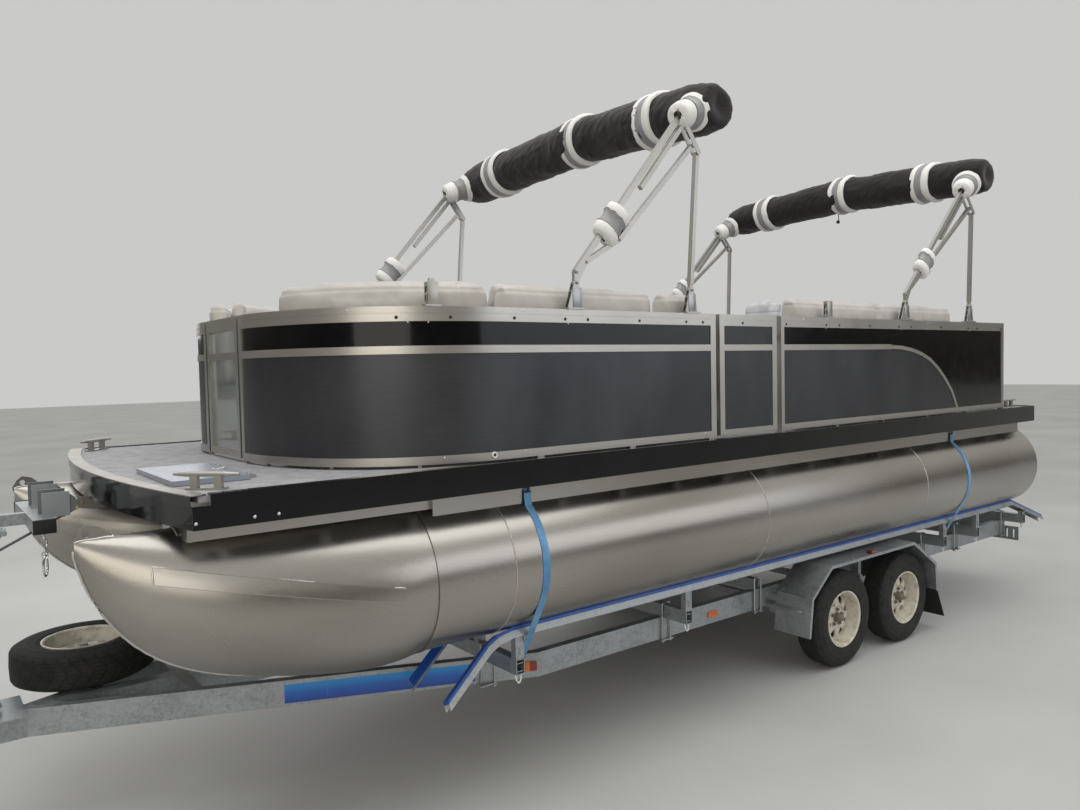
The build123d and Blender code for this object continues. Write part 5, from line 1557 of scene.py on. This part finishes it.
# %% Winch hook
HOOK = ((4326, 1401), (4300, 1414), (4270, 1428), (4248, 1440), (4236, 1452), (4242, 1466), (4258, 1468))
metal = bmesh.new()
pipe(metal, catmull([at(x, 0, z) for x, z in HOOK], 5), 0.0055, 10)
pipe(metal, [at(4322, -27, 1403), at(4322, 27, 1403)], 0.005, 10)
for s, word in SIDES:
    pipe(metal, [at(4322, s * 26, 1403), at(4300, 0, 1414)], 0.0042, 8)
hook = piece("winch_hook", metal, hull, brass)
print("winch hook faces", len(hook.data.polygons))

# %% [markdown]
# Each tie-down strap ends in a flat plate with a small hook in the deck's edge.

# %% Strap hooks
STRAP_HOOK = ((1163, 1440), (1170, 1452), (1168, 1466), (1158, 1472))
straps_at = (2535, -1565)
strap_ends = bmesh.new()
for x in straps_at:
    for s, word in SIDES:
        slab(strap_ends, s, (x - 3, x + 43), (1152, 1162), (1425, 1447), 0.002)
        pipe(strap_ends, catmull([at(x + 20, s * y, z) for y, z in STRAP_HOOK], 4), 0.004, 8)
piece("strap_hooks", strap_ends, hull, finish["dark_plastic"])
print("strap hooks", 2 * len(straps_at))

# %% [markdown]
# A short chain with a snap hook hangs from the crossbar of the bow stop. A link
# is a round bar bent to an oval, and each is turned square to the one before.
# The crossbar is an open tube with a rubber cap in each end.

# %% Chain and crossbar caps
link_drop = 0.026
chain = bmesh.new()


def chain_link(bm, middle, wide_way, long_half, half, radius):
    ring = [middle + UP * (cos(t) * long_half) + wide_way * (sin(t) * half)
            for t in (2 * pi * k / 20 for k in range(21))]
    pipe(bm, ring, radius, 7)


top = at(4430, 262, 1378)
brick(chain, at(4420, 252, 1376), at(4440, 272, 1381), 0.001)
for i in range(4):
    chain_link(chain, top + UP * (-0.018 - link_drop * i), ALONG if i % 2 else ABEAM, 0.018, 0.010, 0.0032)
chain_link(chain, top - UP * 0.142, Vector((0.5, 0.86, 0)), 0.044, 0.019, 0.0048)
piece("safety_chain", chain, hull, chrome)
ends = bmesh.new()
for y0, y1 in ((297, 308), (-408, -397)):
    brick(ends, at(4387, y0, 1377), at(4473, y1, 1438), 0.004)
piece("crossbar_caps", ends, hull, finish["black_rubber"])
print("chain hangs to", round(top.z - 0.142 - 0.044, 3), "m")

# %% [markdown]
# The sun tops stand on brackets on the rail. A bracket is an open channel: a
# cheek plate outside, rungs across the front, a bolt through it, and screws down
# into the rail. FITTINGS has, for each top, its hinge, the foot and the elbow of
# its props and its other joints, as X and Z.

# %% Brackets of the sun tops
FITTINGS = {"front": {"hinge": (2257, 2435), "foot": (1435, 2433), "elbow": (1374, 3172),
                      "joints": ((2256, 2488), (2191, 2540), (1967, 2664), (1496, 3366))},
            "rear": {"hinge": (-813, 2435), "foot": (-1765, 2433), "elbow": (-1798, 3155),
                     "joints": ((-814, 2488), (-1652, 3318))}}
RUNGS = (2316, 2352, 2390)
cheek = (2312, 2412)
plate_bevel = 0.0008
bracket_skin = surface_of("bimini_brackets")
rail_top = 2.32


def bracket(bm, s, x, z):
    for face in (1, -1):
        fasten(bm, bracket_skin, at(x, s * (arm_y + face * 120), z), ABEAM * (s * face), 0.0075)
    slab(bm, s, (x - 27, x + 27), (1203.4, 1206), cheek, plate_bevel)
    for rung in RUNGS:
        slab(bm, s, (x + 20, x + 24), (1180.6, 1199.4), (rung, rung + 12), plate_bevel)
    for dx in (-20, 0, 20):
        spot = seat(bracket_skin, at(x + dx, s * 1214, 2400), -UP)
        if spot and spot.z < rail_top:
            bolt(bm, spot, UP, 0.0045, dome=True)


for which, places in FITTINGS.items():
    fixed = bmesh.new()
    for s, word in SIDES:
        bracket(fixed, s, *places["hinge"])
        bracket(fixed, s, *places["foot"])
    made = piece("bimini_bracket_bolts_" + which, fixed, hull, bolt_steel)
    print(made.name, "faces", len(made.data.polygons))

# %% [markdown]
# Every joint of the folded bows has a through bolt, which turns with the top,
# and each prop has one at its elbow, which turns with the prop.

# %% Joint bolts of the sun tops
for which, places in FITTINGS.items():
    frame_skin, prop_skin = surface_of("bimini_" + which + "_frame"), surface_of("bimini_" + which + "_props")
    moving, props = bmesh.new(), bmesh.new()
    placed = 0
    for s, word in SIDES:
        for x, z in places["joints"]:
            for face in (1, -1):
                beside = at(x, s * (arm_y + face * 90), z)
                placed += fasten(moving, frame_skin, beside, ABEAM * (s * face), 0.0058)
        x, z = places["elbow"]
        placed += fasten(props, prop_skin, at(x, s * 1290, z), ABEAM * s, 0.0055)
    piece("bimini_joint_bolts_" + which, moving, which + "_top", bolt_steel)
    piece("bimini_prop_bolts_" + which, props, which + "_top_props", bolt_steel)
    print("joint bolts", which, placed)

# %% [markdown]
# Two spare brackets on each rail wait for the sun tops' other position. They
# are the same open channel, from two cheeks and three rungs.

# %% Spare brackets
spare_feet = bmesh.new()
for x in (3030, 134):
    rail = min(fence_line, key=lambda p: abs(p.x - x)).y
    for s, word in SIDES:
        for y in (-15, 12.5):
            low = at(x - 27, s * rail + y, cheek[0])
            brick(spare_feet, low, at(x + 27, s * rail + y + 2.5, cheek[1]), plate_bevel)
        for rung in RUNGS:
            low = at(x + 21, s * rail - 13, rung)
            brick(spare_feet, low, at(x + 25, s * rail + 13, rung + 12), plate_bevel)
        for dx in (-34, 34):
            bolt(spare_feet, at(x + dx, s * rail, 2313), UP, 0.0045, dome=True)
    print("spare brackets at", x, "rail at", round(rail), "mm")
piece("spare_feet", spare_feet, hull, finish["frame_aluminium"])

# %% [markdown]
# The rear sleeve's drawstring ends in a ball toggle under its middle.

# %% Toggle
toggle = bmesh.new()
cord_end = [at(-1950, -60, 3366), at(-1946, -58, 3330), at(-1938, -54, 3302), at(-1926, -50, 3284)]
pipe(toggle, catmull(cord_end, 5), 0.0035, 8)
lathe(toggle, cord_end[-1] + Vector((-0.004, 0, 0.012)), Vector((0.5, 0.1, -1)),
      [(0, 0.006), (0.006, 0.013), (0.016, 0.0165), (0.026, 0.013), (0.031, 0.006)], 18)
piece("toggle_rear", toggle, "rear_top", finish["dark_plastic"])
print("toggle hangs at", cord_end[-1])

# %% [markdown]
# The helm has three dials on its sloping panel. Rays find the slope and its
# normal, so that each ring lies flat on it, with a dark face sunk inside.

# %% Dials
console_skin = surface_of("helm_console")
slope = Vector((-0.746, 0, 0.666))
DIALS = ((-960, 0.034), (-800, 0.045), (-640, 0.034))
dials, faces = bmesh.new(), bmesh.new()
for y, size in DIALS:
    spot, normal = console_skin.ray_cast(at(-600, y, 2420), -slope.normalized(), 0.8)[:2]
    if spot:
        normal = normal if normal.x < 0 else -normal
        ring = [(-0.001, size), (0.006, size), (0.009, size * 0.94), (0.007, size * 0.86)]
        lathe(dials, spot, normal, ring, 36)
        lathe(faces, spot, normal, [(0.006, size * 0.86), (0.0066, size * 0.5)], 30)
        print("dial at", spot)
piece("helm_dial_rings", dials, hull, chrome)
piece("helm_dial_faces", faces, hull, finish["dark_plastic"])

# %% [markdown]
# Below the dials is a row of switches. The throttle is a box on the console's
# side with a lever and a grip across its end.

# %% Switches and throttle
helm = bmesh.new()
switches = 5
for i in range(switches):
    spot = console_skin.ray_cast(at(-600, -905 + 40 * i, 2290), Vector((1, 0, -0.2)), 0.8)[0]
    if spot:
        brick(helm, spot + Vector((-0.008, -0.012, -0.009)), spot + Vector((0.004, 0.012, 0.009)), 0.002)
box = seat(console_skin, at(-240, -530, 2600), -UP)
if box:
    brick(helm, box + Vector((-0.05, -0.028, -0.004)), box + Vector((0.05, 0.028, 0.055)), 0.01)
    lever = [box + Vector(step) for step in ((0, 0, 0.04), (-0.02, 0, 0.12), (-0.03, 0, 0.17))]
    pipe(helm, lever, 0.009, 12)
    lathe(helm, box + Vector((-0.03, -0.03, 0.172)), ABEAM, [(0, 0.012), (0.006, 0.017), (0.054, 0.017),
                                                            (0.06, 0.012)], 18)
    print("throttle at", box)
piece("helm_controls", helm, hull, finish["dark_plastic"])

# %% [markdown]
# Last, a round pull on the hatch, which lifts with it, and a bare plate with
# four screws on the box at the stern.

# %% Hatch pull and stern box plate
plate_middle, plate_y = (-2660, 1670), 903
pull, plate = bmesh.new(), bmesh.new()
lathe(pull, at(3810, 630, 1621.5), UP, [(0, 0.028), (0.004, 0.028), (0.006, 0.024), (0.003, 0.018)], 28)
piece("hatch_pull", pull, "hatch", chrome)
brick(plate, at(-2700, 898, 1620), at(-2620, plate_y, 1720), 0.002)
for dx in (-28, 28):
    for dz in (-36, 36):
        bolt(plate, at(plate_middle[0] + dx, plate_y, plate_middle[1] + dz), ABEAM, 0.005, dome=True)
piece("stern_box_plate", plate, hull, white_plastic)

# %% [markdown]
# The sky is what the metal mirrors: brighter overhead and darker near the
# horizon, as a white room would be. A ray that comes straight from the camera
# gets one plain grey instead, so that the picture's background stays even.

# %% Sky
SKY = [(0.0, "8A8883"), (0.5, "55534E"), (0.56, "8F8C85"), (0.66, "DAD9D6"), (1.0, "F4F4F3")]
sky_strength = 0.85
world = bpy.data.worlds.new("studio")
bpy.context.scene.world = world
world.use_nodes = True
sky = world.node_tree
background = sky.nodes["Background"]
height = add(sky, "SeparateXYZ", {"Vector": add(sky, "TexCoord").outputs["Generated"]}).outputs["Z"]
ramp = add(sky, "ValToRGB", {"Fac": spread(sky, height, -1.0, 1.0, 0.0, 1.0)})
for _ in SKY[2:]:
    ramp.color_ramp.elements.new(0.5)
for element, (where, code) in zip(ramp.color_ramp.elements, SKY):
    element.position = where
    element.color = colour(code)
plain = add(sky, "LightPath").outputs["Is Camera Ray"]
behind = {"Factor": plain, "A": ramp.outputs["Color"], "B": colour("D9D9D7")}
mixed = add(sky, "Mix", behind, data_type="RGBA")
sky.links.new(mixed.outputs["Result"], background.inputs["Color"])
background.inputs["Strength"].default_value = sky_strength
bpy.context.scene.view_settings.view_transform = "Standard"
print("sky stops", len(SKY))

# %% [markdown]
# One large square is the floor.

# %% Floor
half_floor = 60.0
ground = bmesh.new()
bmesh.ops.create_grid(ground, x_segments=1, y_segments=1, size=half_floor)
floor_mesh = bpy.data.meshes.new("floor")
ground.to_mesh(floor_mesh)
ground.free()
floor = bpy.data.objects.new("floor", floor_mesh)
bpy.context.scene.collection.objects.link(floor)
concrete, tree, shader = material("floor_pale", "BDBDBB", 0.55)
patch = cloud(tree, place(tree), 1.8, 4.0, 0.5)
tint(tree, shader, patch, [(0.3, "B4B4B2"), (0.7, "C4C4C2")])
floor_mesh.materials.append(concrete)
print("floor", 2 * half_floor, "m wide")

# %% [markdown]
# Four large soft lamps light the boat as daylight from wide openings would: one
# overhead, a warm one ahead, a cool fill beside the stern and one on the far
# side. A lamp looks along its own -Z, so each is turned until that points at its
# target.

# %% Lamps
def softbox(name, where, target, wide, high, watts, tone="FFFFFF"):
    data = bpy.data.lights.new(name, "AREA")
    data.shape = "RECTANGLE"
    data.size, data.size_y, data.energy = wide, high, watts
    data.color = colour(tone)[:3]
    lamp = bpy.data.objects.new(name, data)
    aim = (Vector(target) - Vector(where)).to_track_quat("-Z", "Y")
    lamp.matrix_world = Matrix.Translation(where) @ aim.to_matrix().to_4x4()
    bpy.context.scene.collection.objects.link(lamp)
    print("lamp", name, watts, "W")


softbox("overhead", (0.5, 1.5, 7.5), (0.0, 0.0, 1.2), 11.0, 6.0, 330)
softbox("door_light", (8.0, 7.5, 3.4), (1.2, 0.4, 1.3), 7.0, 4.0, 150, "FFF8EE")
softbox("side_fill", (-5.5, 9.0, 4.0), (-1.5, 0.6, 1.4), 8.0, 4.0, 130, "F4F7FF")
softbox("back_fill", (-1.0, -9.0, 4.5), (0.0, 0.0, 1.6), 9.0, 4.0, 130)
